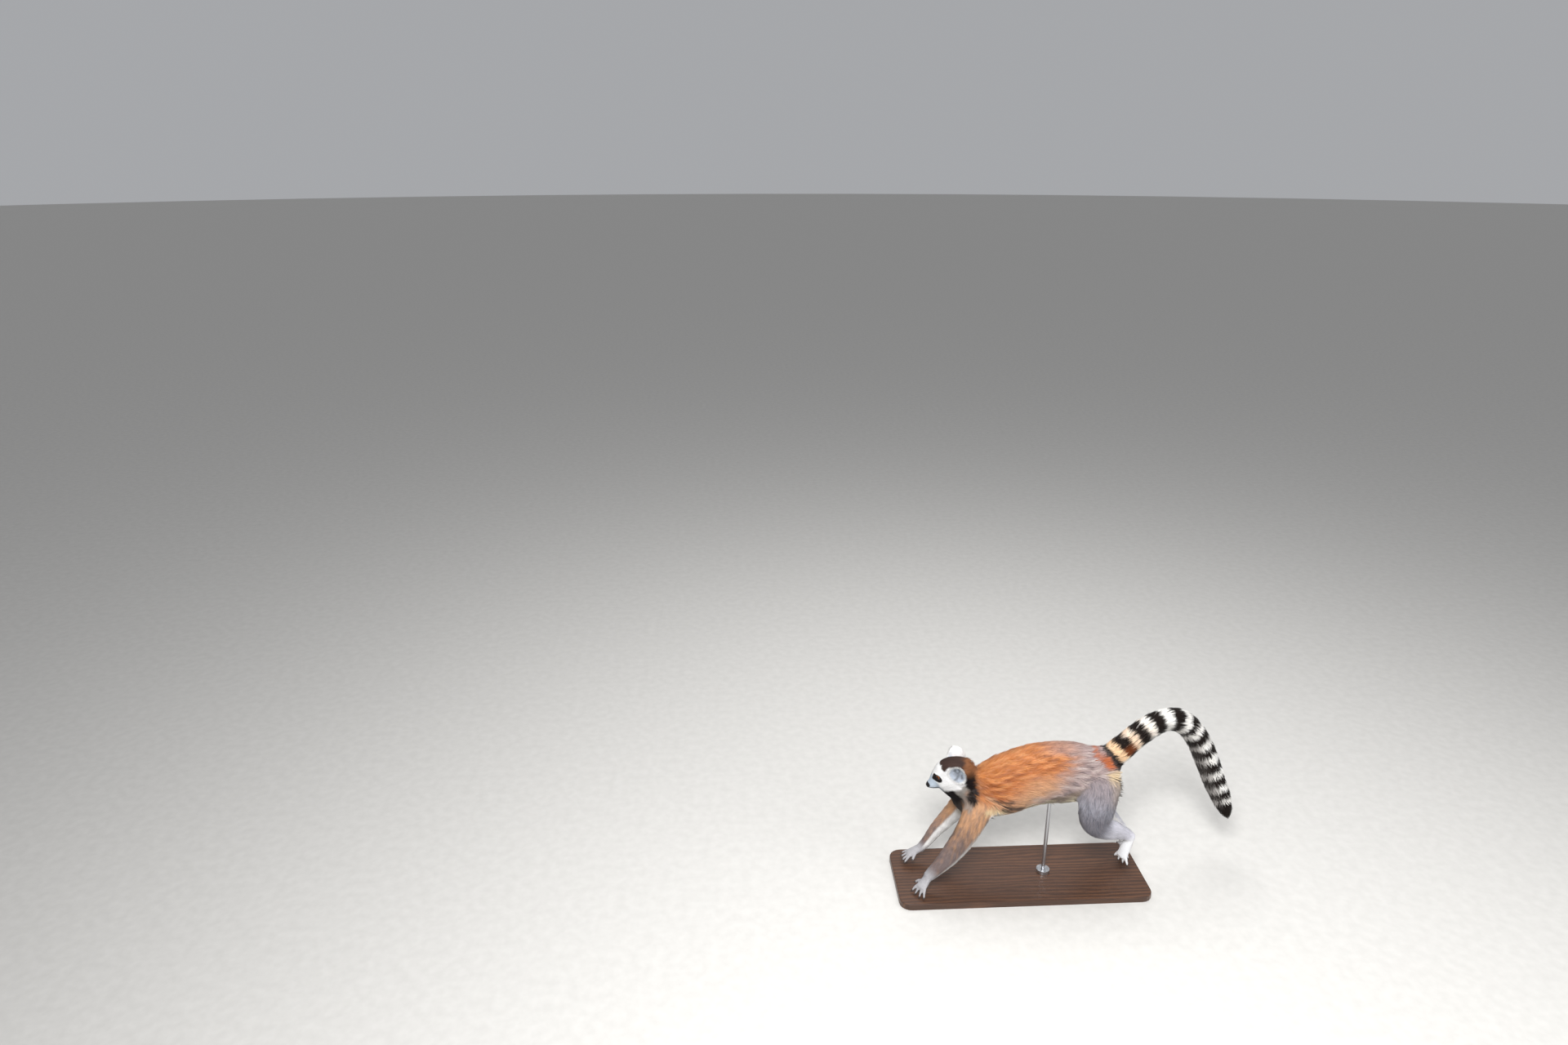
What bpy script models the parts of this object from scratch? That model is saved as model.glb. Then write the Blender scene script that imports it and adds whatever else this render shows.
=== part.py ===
"""Ring-tailed lemur, life size, at full stretch in a bounding run. The left hand is coming down.

A flat wooden base and one steel rod carry it. X runs from the head to the tail, -Y is the animal's
left, Z is up. Sizes run out to the tips of the coat. While it is built, z = 0 is the base's top, which
stands for the ground. At the end everything moves together, so that the origin is the middle of the
bottom of the whole model's box.
"""

import math

import bmesh
import bpy
from mathutils import Matrix, Vector

# ---------------------------------------------------------------- driving dimensions, metres

GAP = 0.0003  # between solids that meet
BASE_SIZE = Vector((0.610, 0.210, 0.015))
BASE_MIDDLE_X = 0.011
BASE_CORNER, BASE_EDGE = 0.028, 0.0025
ROD_RADIUS = 0.0045
ROD_X = 0.074  # under the balance point of the animal in life, whose tail is mostly hair
ROD_TOP, ROD_BOTTOM = 0.255, -0.010
COLLAR_RADIUS, COLLAR_HEIGHT = 0.016, 0.009

HEAD_PITCH = math.radians(30)  # the muzzle points this far down
HEAD_YAW = math.radians(9)  # and this far to the animal's right
NOSE_TIP = Vector((-0.2259, 0.0133, 0.2573))
EYE_RADIUS = 0.0065
EYE = Vector((0.0355, 0.0190, 0.0108))  # the front of the eye: back from the nose tip, out, up
GAZE = Vector((-0.62, 0.74, 0.24))
ORBIT_RADIUS, ORBIT_OUT = 0.0085, 0.0045  # the hollow round the eye, its middle this far before the eye
# Each ear's root and tip; the one on the far side is pricked further forward.
LEFT_EAR = (Vector((0.071, 0.0335, -0.007)), Vector((0.1045, 0.0445, 0.0285)))
RIGHT_EAR = (Vector((0.0828, 0.0335, -0.0126)), Vector((0.0928, 0.0445, 0.0342)))
EAR_FACING = Vector((-0.30, 0.90, 0.12))
EAR_WIDTH, EAR_THICKNESS, EAR_CUP, EAR_TAPER = 0.0455, 0.0038, 0.0080, 0.20

# Stations along each form: the place, then the half width and the half height of the coat there.
TRUNK = [
    (Vector((-0.1285, 0, 0.237)), 0.0435, 0.053),
    (Vector((-0.081, 0, 0.241)), 0.056, 0.071),
    (Vector((-0.019, 0, 0.2655)), 0.060, 0.076),
    (Vector((0.0475, 0, 0.2835)), 0.059, 0.078),
    (Vector((0.109, 0, 0.2845)), 0.055, 0.079),
    (Vector((0.154, 0, 0.2865)), 0.052, 0.0695),
    (Vector((0.192, 0, 0.296)), 0.0425, 0.055),
]
NECK = [
    (Vector((-0.171, 0, 0.277)), 0.034, 0.037),
    (Vector((-0.1425, 0, 0.260)), 0.039, 0.0445),
    (Vector((-0.109, 0, 0.2465)), 0.0475, 0.055),
    (Vector((-0.076, 0, 0.2445)), 0.052, 0.0625),
]
TAIL = [
    (Vector((0.1755, 0, 0.3035)), 0.0325, 0.0325),
    (Vector((0.2135, 0.004, 0.3205)), 0.0315, 0.0325),
    (Vector((0.248, 0.0135, 0.3445)), 0.0295, 0.0305),
    (Vector((0.2935, 0.0315, 0.370)), 0.0285, 0.0295),
    (Vector((0.340, 0.0495, 0.3845)), 0.0285, 0.0285),
    (Vector((0.382, 0.0625, 0.3825)), 0.0295, 0.0295),
    (Vector((0.4235, 0.073, 0.357)), 0.0305, 0.0305),
    (Vector((0.457, 0.077, 0.313)), 0.030, 0.030),
    (Vector((0.4805, 0.076, 0.2675)), 0.0295, 0.0295),
    (Vector((0.5025, 0.0685, 0.2145)), 0.0285, 0.0285),
    (Vector((0.5225, 0.057, 0.1675)), 0.0255, 0.0255),
    (Vector((0.5365, 0.0475, 0.1325)), 0.018, 0.018),
    (Vector((0.5425, 0.0445, 0.1165)), 0.0105, 0.0105),
]
LEFT_ARM = [
    (Vector((-0.093, -0.0285, 0.241)), 0.0285, 0.040),
    (Vector((-0.116, -0.042, 0.1955)), 0.0245, 0.035),
    (Vector((-0.1405, -0.052, 0.1495)), 0.0225, 0.0305),
    (Vector((-0.169, -0.055, 0.105)), 0.019, 0.0255),
    (Vector((-0.194, -0.055, 0.072)), 0.0155, 0.0195),
    (Vector((-0.2205, -0.054, 0.0425)), 0.013, 0.014),
]
RIGHT_ARM = [
    (Vector((-0.099, 0.0265, 0.2295)), 0.0285, 0.038),
    (Vector((-0.129, 0.040, 0.178)), 0.0245, 0.0295),
    (Vector((-0.1585, 0.0505, 0.1305)), 0.021, 0.0225),
    (Vector((-0.1845, 0.052, 0.0975)), 0.0175, 0.018),
    (Vector((-0.204, 0.053, 0.066)), 0.014, 0.014),
    (Vector((-0.2215, 0.053, 0.0425)), 0.012, 0.011),
]
LEFT_LEG = [
    (Vector((0.1805, -0.021, 0.298)), 0.0325, 0.0435),
    (Vector((0.1785, -0.038, 0.258)), 0.034, 0.0485),
    (Vector((0.171, -0.0495, 0.220)), 0.0315, 0.0465),
    (Vector((0.166, -0.057, 0.184)), 0.0275, 0.035),
    (Vector((0.189, -0.059, 0.166)), 0.024, 0.0295),
    (Vector((0.2175, -0.056, 0.1555)), 0.0195, 0.024),
    (Vector((0.243, -0.052, 0.144)), 0.0145, 0.017),
    (Vector((0.2595, -0.0505, 0.1325)), 0.0125, 0.014),
]
RIGHT_LEG = [
    (Vector((0.1825, 0.021, 0.294)), 0.0325, 0.0435),
    (Vector((0.190, 0.036, 0.2465)), 0.034, 0.0465),
    (Vector((0.1975, 0.0465, 0.201)), 0.0305, 0.041),
    (Vector((0.2035, 0.053, 0.161)), 0.0265, 0.0325),
    (Vector((0.231, 0.054, 0.1315)), 0.023, 0.0275),
    (Vector((0.2565, 0.052, 0.107)), 0.018, 0.0205),
    (Vector((0.2735, 0.0495, 0.0915)), 0.014, 0.0155),
    (Vector((0.282, 0.0485, 0.0785)), 0.0125, 0.0135),
]
# The head in its own frame, as for EYE.
HEAD = [
    (Vector((0.005, 0, -0.0072)), 0.0092, 0.0098),
    (Vector((0.015, 0, -0.0076)), 0.0132, 0.0154),
    (Vector((0.0285, 0, -0.0043)), 0.0175, 0.0215),
    (Vector((0.042, 0, 0.0005)), 0.0225, 0.0273),
    (Vector((0.057, 0, 0.0035)), 0.030, 0.0335),
    (Vector((0.074, 0, 0.0005)), 0.0335, 0.036),
    (Vector((0.090, 0, -0.004)), 0.0315, 0.0335),
]
CHEEK_MIDDLE, CHEEK_SIZE = Vector((0.057, 0.017, -0.016)), Vector((0.023, 0.016, 0.018))

# A hand or foot: its wrist or heel, the way it points, the way its palm or sole faces, and its side.
DIGIT_LENGTH, DIGIT_RADIUS = 0.0275, 0.0035
DIGIT_SPREAD = [math.radians(angle) for angle in (-22, -7, 8, 23)]
THUMB_SPREAD = math.radians(50)
HAND_SIZE = Vector((0.0325, 0.014, 0.0085))  # the palm's length, half width and half depth
FOOT_SIZE = Vector((0.057, 0.014, 0.0105))
LEFT_HAND = (Vector((-0.2205, -0.054, 0.0425)), Vector((-0.60, -0.45, -0.58)), Vector((0.49, 0.36, -0.79)), -1)
RIGHT_HAND = (Vector((-0.2215, 0.053, 0.0425)), Vector((-0.88, 0, -0.47)), Vector((0.47, 0, -0.88)), 1)
LEFT_FOOT = (Vector((0.261, -0.0505, 0.1345)), Vector((-0.24, 0.03, -0.97)), Vector((0.80, 0.56, -0.18)), -1)
RIGHT_FOOT = (Vector((0.284, 0.0485, 0.0840)), Vector((0.10, -0.05, -0.99)), Vector((0.99, 0, 0.10)), 1)
LEFT_FINGERS, RIGHT_FINGERS = math.radians(22), math.radians(12)  # how far they bend towards the palm
TOES = math.radians(20)

# Where the body is parted: a place on each cut, and the way to the far side of it.
TAIL_CUTS = [
    ("tail_tip", TAIL[9][0], TAIL[10][0] - TAIL[8][0]),
    ("tail_drop", TAIL[7][0], TAIL[8][0] - TAIL[6][0]),
    ("tail_arch", TAIL[4][0], TAIL[5][0] - TAIL[3][0]),
    ("tail_rise", TAIL[2][0], TAIL[3][0] - TAIL[1][0]),
]
NECK_CUT = (Vector((-0.1065, 0, 0.258)), Vector((-0.90, 0, 0.44)))
HEAD_CUT = (Vector((-0.1425, 0, 0.262)), Vector((-0.805, 0, 0.593)))
LEFT_ELBOW = (LEFT_ARM[2][0], LEFT_ARM[3][0] - LEFT_ARM[1][0])
LEFT_WRIST = (LEFT_ARM[5][0], LEFT_HAND[1])
RIGHT_ELBOW = (RIGHT_ARM[2][0], RIGHT_ARM[3][0] - RIGHT_ARM[1][0])
RIGHT_WRIST = (RIGHT_ARM[5][0], RIGHT_HAND[1])
LEFT_KNEE = (Vector((0.189, -0.057, 0.168)), Vector((0.62, 0, -0.79)))
LEFT_ANKLE = (Vector((0.254, -0.048, 0.1355)), Vector((0.75, 0, -0.66)))
RIGHT_KNEE = (RIGHT_LEG[3][0], Vector((0.45, 0, -0.88)))
RIGHT_ANKLE = (RIGHT_LEG[6][0], Vector((0.50, 0, -0.87)))
# The upper limbs leave the trunk within these rounded forms.
SHOULDER_SIZE, HIP_SIZE = (0.035, 0.049), (0.038, 0.059)
LEFT_SHOULDER = [Vector((-0.1045, -0.0515, 0.2105)), Vector((-0.157, -0.061, 0.1155))]
RIGHT_SHOULDER = [Vector((-0.112, 0.0505, 0.203)), Vector((-0.173, 0.060, 0.104))]
LEFT_HIP = [Vector((0.1785, -0.0505, 0.2625)), Vector((0.167, -0.0645, 0.1345))]
RIGHT_HIP = [Vector((0.186, 0.0505, 0.258)), Vector((0.211, 0.0645, 0.1155))]

ACROSS = Vector((0, 1, 0))


# ---------------------------------------------------------------- scene and finishes

def clear_scene():
    for thing in list(bpy.data.objects):
        bpy.data.objects.remove(thing, do_unlink=True)


def material(name, colour, roughness, metallic=0.0):
    finish = bpy.data.materials.new(name)
    finish.use_nodes = True
    shader = finish.node_tree.nodes["Principled BSDF"]
    shader.inputs["Base Color"].default_value = (*colour, 1.0)
    shader.inputs["Roughness"].default_value = roughness
    shader.inputs["Metallic"].default_value = metallic
    return finish


def add_object(name, shape):
    """A new object from a bmesh, which is freed."""
    mesh = bpy.data.meshes.new(name)
    shape.to_mesh(mesh)
    shape.free()
    thing = bpy.data.objects.new(name, mesh)
    bpy.context.scene.collection.objects.link(thing)
    return thing


def bake(thing):
    """Make the object's own mesh what its modifiers give."""
    shape = bpy.data.meshes.new_from_object(thing.evaluated_get(bpy.context.evaluated_depsgraph_get()))
    thing.modifiers.clear()
    thing.data = shape
    return thing


# ---------------------------------------------------------------- forms that the body is fused from

def smooth_line(stations, steps):
    """The stations, with steps - 1 more between each pair, on a Catmull-Rom curve through them all."""
    knots = [Vector((*place, width, height)) for place, width, height in stations]
    knots = [2 * knots[0] - knots[1], *knots, 2 * knots[-1] - knots[-2]]
    line = []
    for before, start, end, after in zip(knots, knots[1:], knots[2:], knots[3:]):
        for t in (step / steps for step in range(steps)):
            curve = 2 * before - 5 * start + 4 * end - after
            turn = 3 * start - before - 3 * end + after
            line.append((2 * start + (end - before) * t + curve * t**2 + turn * t**3) / 2)
    return [*line, knots[-2]]


def domed(places, line, dome):
    """Rings as (place, tangent, width, height): one at each place, and a dome's rings past each end."""
    last = len(line) - 1
    tangents = [(places[min(i + 1, last)] - places[max(i - 1, 0)]).normalized() for i in range(last + 1)]
    rings = [(place, tangent, knot[3], knot[4]) for place, tangent, knot in zip(places, tangents, line)]
    for end, way in ((0, -1), (-1, 1)):
        place, tangent, width, height = rings[end]
        for angle in map(math.radians, dome):
            past = place + tangent * way * min(width, height) * math.sin(angle)
            ring = (past, tangent, width * math.cos(angle), height * math.cos(angle))
            rings.insert(0 if way < 0 else len(rings), ring)
    return rings


def tube(stations, sides=24, across=ACROSS, steps=4, dome=(30, 58, 80)):
    """A closed form round a line of stations, its ends domed. The half widths run across."""
    line = smooth_line(stations, steps)
    shape = bmesh.new()
    edges = []
    for place, tangent, width, height in domed([Vector(knot[:3]) for knot in line], line, dome):
        side = (across - tangent * across.dot(tangent)).normalized()
        turn = Matrix((side, tangent.cross(side), tangent)).transposed().to_4x4()
        matrix = Matrix.Translation(place) @ turn @ Matrix.Diagonal((width, height, 1, 1))
        corners = set(bmesh.ops.create_circle(shape, segments=sides, radius=1, matrix=matrix)["verts"])
        edges.append([edge for edge in shape.edges if corners.issuperset(edge.verts)])
    for near, far in zip(edges, edges[1:]):
        bmesh.ops.bridge_loops(shape, edges=near + far)
    bmesh.ops.holes_fill(shape, edges=edges[0] + edges[-1], sides=0)
    bmesh.ops.recalc_face_normals(shape, faces=shape.faces)
    return shape


def blob(centre, radii, segments=24):
    """An ellipsoid."""
    shape = bmesh.new()
    matrix = Matrix.Translation(centre) @ Matrix.Diagonal((*radii, 1))
    bmesh.ops.create_uvsphere(shape, u_segments=segments, v_segments=segments // 2, radius=1, matrix=matrix)
    return shape


def fused(name, shapes, voxel, relax, triangles):
    """One closed skin round overlapping forms, its creases relaxed, at about that many triangles."""
    together = bmesh.new()
    for shape in shapes:
        spare = bpy.data.meshes.new(name)
        shape.to_mesh(spare)
        shape.free()
        together.from_mesh(spare)
        bpy.data.meshes.remove(spare)
    thing = add_object(name, together)
    remesh = thing.modifiers.new("one skin", "REMESH")
    remesh.mode = "VOXEL"
    remesh.voxel_size = voxel
    smooth = thing.modifiers.new("relaxed creases", "SMOOTH")
    smooth.factor = 0.5
    smooth.iterations = relax
    bake(thing)
    fewer = thing.modifiers.new("fewer faces", "DECIMATE")
    fewer.ratio = triangles / (2 * len(thing.data.polygons))
    fewer.use_collapse_triangulate = True
    return bake(thing)


# ---------------------------------------------------------------- parting the body

def block(place, along, reach, width, height, grow):
    """A box that starts on a plane at a place and runs along a direction from there."""
    along = along.normalized()
    side = (ACROSS - along * ACROSS.dot(along)).normalized()
    turn = Matrix((along, side, along.cross(side))).transposed().to_4x4()
    shape = bmesh.new()
    size = Matrix.Diagonal((reach + 2 * grow, width + 2 * grow, height + 2 * grow, 1))
    bmesh.ops.create_cube(shape, size=1, matrix=Matrix.Translation(place + along * reach / 2) @ turn @ size)
    return shape


def end_zone(cut, reach=0.45, size=0.22):
    """What lies beyond a cut through the neck or the tail."""
    return lambda grow: block(*cut, reach, size, size, grow)


def limb_zone(cut, side, reach=0.20, width=0.18, height=0.16):
    """What lies beyond a joint, on one side of the animal."""
    place, along = cut
    start = Vector((place.x, (width / 2 + 0.005) * side, place.z))
    return lambda grow: block(start, along, reach, width, height, grow)


def root_zone(line, size):
    """A rounded form round an upper limb and its root."""
    width, height = size
    return lambda grow: tube([(place, width + grow, height + grow) for place in line], sides=16, steps=1)


def boolean(thing, shape, operation):
    cutter = add_object("cutter", shape)
    cut = thing.modifiers.new("cut", "BOOLEAN")
    cut.operation = operation
    cut.object = cutter
    bake(thing)
    bpy.data.objects.remove(cutter, do_unlink=True)
    return thing


def part_off(body, name, zone):
    """Take what lies in a zone as a new piece. The body keeps the rest, less a gap round the zone."""
    piece = body.copy()
    piece.name = name
    piece.data = body.data.copy()
    bpy.context.scene.collection.objects.link(piece)
    boolean(piece, zone(0.0), "INTERSECT")
    boolean(body, zone(GAP), "DIFFERENCE")
    return piece


def drop(thing):
    bpy.data.objects.remove(thing, do_unlink=True)


# ---------------------------------------------------------------- hands and feet

def digit(root, along, palm, bend, length, radius):
    """A finger or toe in two lengths. It bends towards the palm, half at its root and half on its way."""
    start = (along * math.cos(bend / 2) + palm * math.sin(bend / 2)).normalized()
    end = (along * math.cos(bend) + palm * math.sin(bend)).normalized()
    middle = root + start * length * 0.5
    tip = middle + end * length * 0.4
    slim = radius * 0.85
    return tube([(root, radius, radius), (middle, radius, radius), (tip, slim, slim)], sides=12)


def paw(placing, size, bend):
    """The palm or sole, four digits and a thumb or great toe on the side towards the middle."""
    wrist, along, palm, side = placing
    along = along.normalized()
    palm = (palm - along * palm.dot(along)).normalized()
    inward = along.cross(palm) * side
    length, width, depth = size
    knuckles = wrist + along * length
    middle = wrist + along * length * 0.5
    palm_line = [(wrist, width * 0.85, depth), (middle, width * 0.9, depth), (knuckles, width, depth * 0.75)]
    forms = [tube(palm_line, across=inward)]
    for spread in DIGIT_SPREAD:
        forward = (along * math.cos(spread) + inward * math.sin(spread)).normalized()
        root = knuckles + inward * width * 1.9 * math.sin(spread) - along * DIGIT_RADIUS
        forms.append(digit(root, forward, palm, bend, DIGIT_LENGTH * math.cos(spread), DIGIT_RADIUS))
    forward = (along * math.cos(THUMB_SPREAD) + inward * math.sin(THUMB_SPREAD)).normalized()
    root = wrist + along * length * 0.45 + inward * width * 0.55
    forms.append(digit(root, forward, palm, bend, DIGIT_LENGTH * 0.9, DIGIT_RADIUS * 1.15))
    return forms


def lower_limb(side_name, parts, line, placing, size, bend, joint, end):
    """A forearm and hand, or a shank and foot, named in parts. Most faces go to the hand or foot."""
    side = placing[3]
    beyond = limb_zone(end, side, height=0.26)
    whole, fine = (
        fused("limb", [tube(line), *paw(placing, size, bend)], voxel=0.0018, relax=3, triangles=triangles)
        for triangles in (420, 940)
    )
    upper = part_off(whole, f"{side_name}_{parts[0]}", limb_zone(joint, side))
    drop(part_off(upper, "spare", beyond))
    lower = part_off(fine, f"{side_name}_{parts[1]}", beyond)
    drop(whole)
    drop(fine)
    return upper, lower


# ---------------------------------------------------------------- head, ears and eyes

HEAD_TURN = Matrix.Rotation(-HEAD_YAW, 3, "Z") @ Matrix.Rotation(-HEAD_PITCH, 3, "Y")


def in_head(local, side=1):
    """A place in the head's frame (back, out, up), moved to the animal, on the side that the sign gives."""
    return NOSE_TIP + HEAD_TURN @ Vector((local.x, local.y * side, local.z))


def head_way(local, side=1):
    return in_head(local, side) - NOSE_TIP


def head_forms():
    cheeks = [blob(in_head(CHEEK_MIDDLE, side), CHEEK_SIZE) for side in (-1, 1)]
    return [tube([(in_head(place), width, height) for place, width, height in HEAD]), *cheeks]


def eye_middle(side):
    return in_head(EYE, side) - head_way(GAZE, side).normalized() * EYE_RADIUS


def ear(name, side):
    """A cupped dish, its hollow side out and forward. It narrows towards its tip."""
    root, tip = (in_head(place, side) for place in (LEFT_EAR if side < 0 else RIGHT_EAR))
    along = (tip - root).normalized()
    facing = head_way(EAR_FACING, side)
    facing = (facing - along * facing.dot(along)).normalized()
    across = facing.cross(along)
    shape = blob(Vector((0, 0, 0)), (1, 1, 1), segments=16)
    for corner in shape.verts:
        x, y, z = corner.co
        bowl = EAR_CUP * (x * x + y * y - 0.5)
        corner.co = (root + tip) / 2 + along * (tip - root).length / 2 * x
        corner.co += across * EAR_WIDTH / 2 * y * (1 - EAR_TAPER * x)
        corner.co += facing * (EAR_THICKNESS / 2 * z + bowl)
    bmesh.ops.recalc_face_normals(shape, faces=shape.faces)
    return add_object(name, shape)


# ---------------------------------------------------------------- the animal

ARM_PARTS, LEG_PARTS = ("forearm", "hand"), ("shank", "foot")


def model_animal():
    lines = (TRUNK, NECK, TAIL, LEFT_ARM, RIGHT_ARM, LEFT_LEG, RIGHT_LEG)
    body = fused("trunk", [*map(tube, lines), *head_forms()], voxel=0.0040, relax=8, triangles=2700)
    for joint, side in ((LEFT_ELBOW, -1), (RIGHT_ELBOW, 1), (LEFT_KNEE, -1), (RIGHT_KNEE, 1)):
        drop(part_off(body, "spare", limb_zone(joint, side)))
    drop(part_off(body, "spare", end_zone(HEAD_CUT)))
    pieces = [part_off(body, name, end_zone((place, along))) for name, place, along in TAIL_CUTS]
    for name, line, size in (
        ("left_upper_arm", LEFT_SHOULDER, SHOULDER_SIZE),
        ("right_upper_arm", RIGHT_SHOULDER, SHOULDER_SIZE),
        ("left_thigh", LEFT_HIP, HIP_SIZE),
        ("right_thigh", RIGHT_HIP, HIP_SIZE),
    ):
        pieces.append(part_off(body, name, root_zone(line, size)))
    pieces.append(part_off(body, "neck", end_zone(NECK_CUT)))
    for side_name, parts, line, placing, size, bend, joint, end in (
        ("left", ARM_PARTS, LEFT_ARM, LEFT_HAND, HAND_SIZE, LEFT_FINGERS, LEFT_ELBOW, LEFT_WRIST),
        ("right", ARM_PARTS, RIGHT_ARM, RIGHT_HAND, HAND_SIZE, RIGHT_FINGERS, RIGHT_ELBOW, RIGHT_WRIST),
        ("left", LEG_PARTS, LEFT_LEG, LEFT_FOOT, FOOT_SIZE, TOES, LEFT_KNEE, LEFT_ANKLE),
        ("right", LEG_PARTS, RIGHT_LEG, RIGHT_FOOT, FOOT_SIZE, TOES, RIGHT_KNEE, RIGHT_ANKLE),
    ):
        pieces += lower_limb(side_name, parts, line, placing, size, bend, joint, end)
    return [body, *pieces, *model_head()]


def model_head():
    whole = fused("head", [tube(TRUNK), tube(NECK), *head_forms()], voxel=0.0028, relax=12, triangles=2340)
    outer = bmesh.new()
    outer.from_mesh(whole.data)
    for corner in outer.verts:
        corner.co += corner.normal * GAP
    skin = bpy.data.meshes.new("outer")
    outer.to_mesh(skin)
    outer.free()
    pieces = []
    for side_name, side in (("left", -1), ("right", 1)):
        cutter = bmesh.new()
        cutter.from_mesh(skin)
        pieces.append(boolean(ear(f"{side_name}_ear", side), cutter, "DIFFERENCE"))
    head = part_off(whole, "spare", end_zone(HEAD_CUT))
    drop(whole)
    head.name = "head"
    for side_name, side in (("left", -1), ("right", 1)):
        orbit = in_head(EYE, side) + head_way(GAZE, side).normalized() * ORBIT_OUT
        boolean(head, blob(orbit, [ORBIT_RADIUS] * 3, segments=16), "DIFFERENCE")
        boolean(head, blob(eye_middle(side), [EYE_RADIUS + GAP] * 3, segments=14), "DIFFERENCE")
        pieces.append(add_object(f"{side_name}_eye", blob(eye_middle(side), [EYE_RADIUS] * 3, segments=14)))
    return [head, *pieces]


# ---------------------------------------------------------------- the stand

def post(x, radius, bottom, top, sides=24):
    """An upright round bar."""
    shape = bmesh.new()
    matrix = Matrix.Translation((x, 0, (bottom + top) / 2))
    bmesh.ops.create_cone(shape, cap_ends=True, segments=sides, radius1=radius, radius2=radius,
                          depth=top - bottom, matrix=matrix)
    return shape


def model_stand(trunk):
    boolean(trunk, post(ROD_X, ROD_RADIUS + GAP, 0.10, ROD_TOP + GAP), "DIFFERENCE")
    rod = add_object("stand_rod", post(ROD_X, ROD_RADIUS, ROD_BOTTOM, ROD_TOP))
    collar = add_object("stand_collar", post(ROD_X, COLLAR_RADIUS, GAP, GAP + COLLAR_HEIGHT))
    boolean(collar, post(ROD_X, ROD_RADIUS + GAP, -0.05, 0.05), "DIFFERENCE")
    shape = bmesh.new()
    middle = Matrix.Translation((BASE_MIDDLE_X, 0, -BASE_SIZE.z / 2))
    bmesh.ops.create_cube(shape, size=1, matrix=middle @ Matrix.Diagonal((*BASE_SIZE, 1)))
    base = add_object("stand_base", shape)
    round_edges(base, BASE_CORNER, lambda low, high: low < high - GAP, segments=5)
    round_edges(base, BASE_EDGE, lambda low, high: low > -GAP, segments=2)
    boolean(base, post(ROD_X, ROD_RADIUS + GAP, ROD_BOTTOM - GAP, 0.05), "DIFFERENCE")
    return [base, rod, collar]


def round_edges(thing, width, chosen, segments):
    """Bevel the edges that are chosen by the heights of their lower and higher end."""
    shape = bmesh.new()
    shape.from_mesh(thing.data)
    edges = [edge for edge in shape.edges if chosen(*sorted(vert.co.z for vert in edge.verts))]
    bmesh.ops.bevel(shape, geom=edges, offset=width, segments=segments, profile=0.5, affect="EDGES")
    shape.to_mesh(thing.data)
    shape.free()


# ---------------------------------------------------------------- together

def corners_of(pieces):
    points = [piece.matrix_world @ vertex.co for piece in pieces for vertex in piece.data.vertices]
    low = Vector(min(point[axis] for point in points) for axis in range(3))
    high = Vector(max(point[axis] for point in points) for axis in range(3))
    return low, high


def finish_of(name, finishes):
    for start, key in (("stand_base", "wood"), ("stand_", "steel"), ("tail", "black"), ("trunk", "rufous"),
                       ("neck", "rufous"), ("head", "white")):
        if name.startswith(start):
            return finishes[key]
    if name.endswith("_eye"):
        return finishes["amber"]
    return finishes["white" if name.endswith(("_ear", "_foot")) else "grey"]


clear_scene()
collection = bpy.data.collections.new("ring_tailed_lemur")
bpy.context.scene.collection.children.link(collection)
FINISHES = {
    "rufous": material("rufous_fur", (0.42, 0.17, 0.06), 0.9),
    "grey": material("grey_fur", (0.33, 0.29, 0.29), 0.9),
    "white": material("white_fur", (0.80, 0.80, 0.80), 0.9),
    "black": material("black_fur", (0.03, 0.025, 0.022), 0.9),
    "amber": material("amber_eye", (0.60, 0.22, 0.03), 0.15),
    "wood": material("dark_wood", (0.10, 0.05, 0.025), 0.45),
    "steel": material("brushed_steel", (0.55, 0.55, 0.56), 0.35, 1.0),
}
animal = model_animal()
everything = animal + model_stand(animal[0])
low, high = corners_of(everything)
SHIFT = -Vector(((low.x + high.x) / 2, (low.y + high.y) / 2, low.z))
for piece in everything:
    piece.data.transform(Matrix.Translation(SHIFT))
    piece.data.materials.clear()
    piece.data.materials.append(finish_of(piece.name, FINISHES))
    bpy.context.scene.collection.objects.unlink(piece)
    collection.objects.link(piece)
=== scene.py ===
import math

import bmesh
import bpy
import numpy as np
from mathutils import Matrix, Vector
from mathutils.bvhtree import BVHTree


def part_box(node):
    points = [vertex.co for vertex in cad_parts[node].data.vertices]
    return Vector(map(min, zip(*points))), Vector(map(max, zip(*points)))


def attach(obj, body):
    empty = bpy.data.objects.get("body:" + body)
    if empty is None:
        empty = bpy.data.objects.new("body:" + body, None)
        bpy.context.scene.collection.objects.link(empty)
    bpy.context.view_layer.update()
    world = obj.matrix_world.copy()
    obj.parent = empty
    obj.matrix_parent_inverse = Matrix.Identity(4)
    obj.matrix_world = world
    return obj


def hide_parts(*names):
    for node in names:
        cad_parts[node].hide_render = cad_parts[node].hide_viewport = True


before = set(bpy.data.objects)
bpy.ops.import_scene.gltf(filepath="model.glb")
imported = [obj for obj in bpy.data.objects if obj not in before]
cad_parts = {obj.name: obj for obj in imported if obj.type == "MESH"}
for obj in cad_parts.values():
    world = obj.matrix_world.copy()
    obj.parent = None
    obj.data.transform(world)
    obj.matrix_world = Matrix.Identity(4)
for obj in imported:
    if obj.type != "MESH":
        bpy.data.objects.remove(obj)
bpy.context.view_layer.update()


# ---------------------------------------------------------------- the studio
# The model stands in a plain studio: a pale floor, soft light from large lamps above, and a camera at
# a standing person's eye height, a little over two metres away and looking down on the left side.

rod_low, rod_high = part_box("stand_rod")
ROD = (rod_low + rod_high) / 2
ROD_BACK = 0.074
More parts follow.
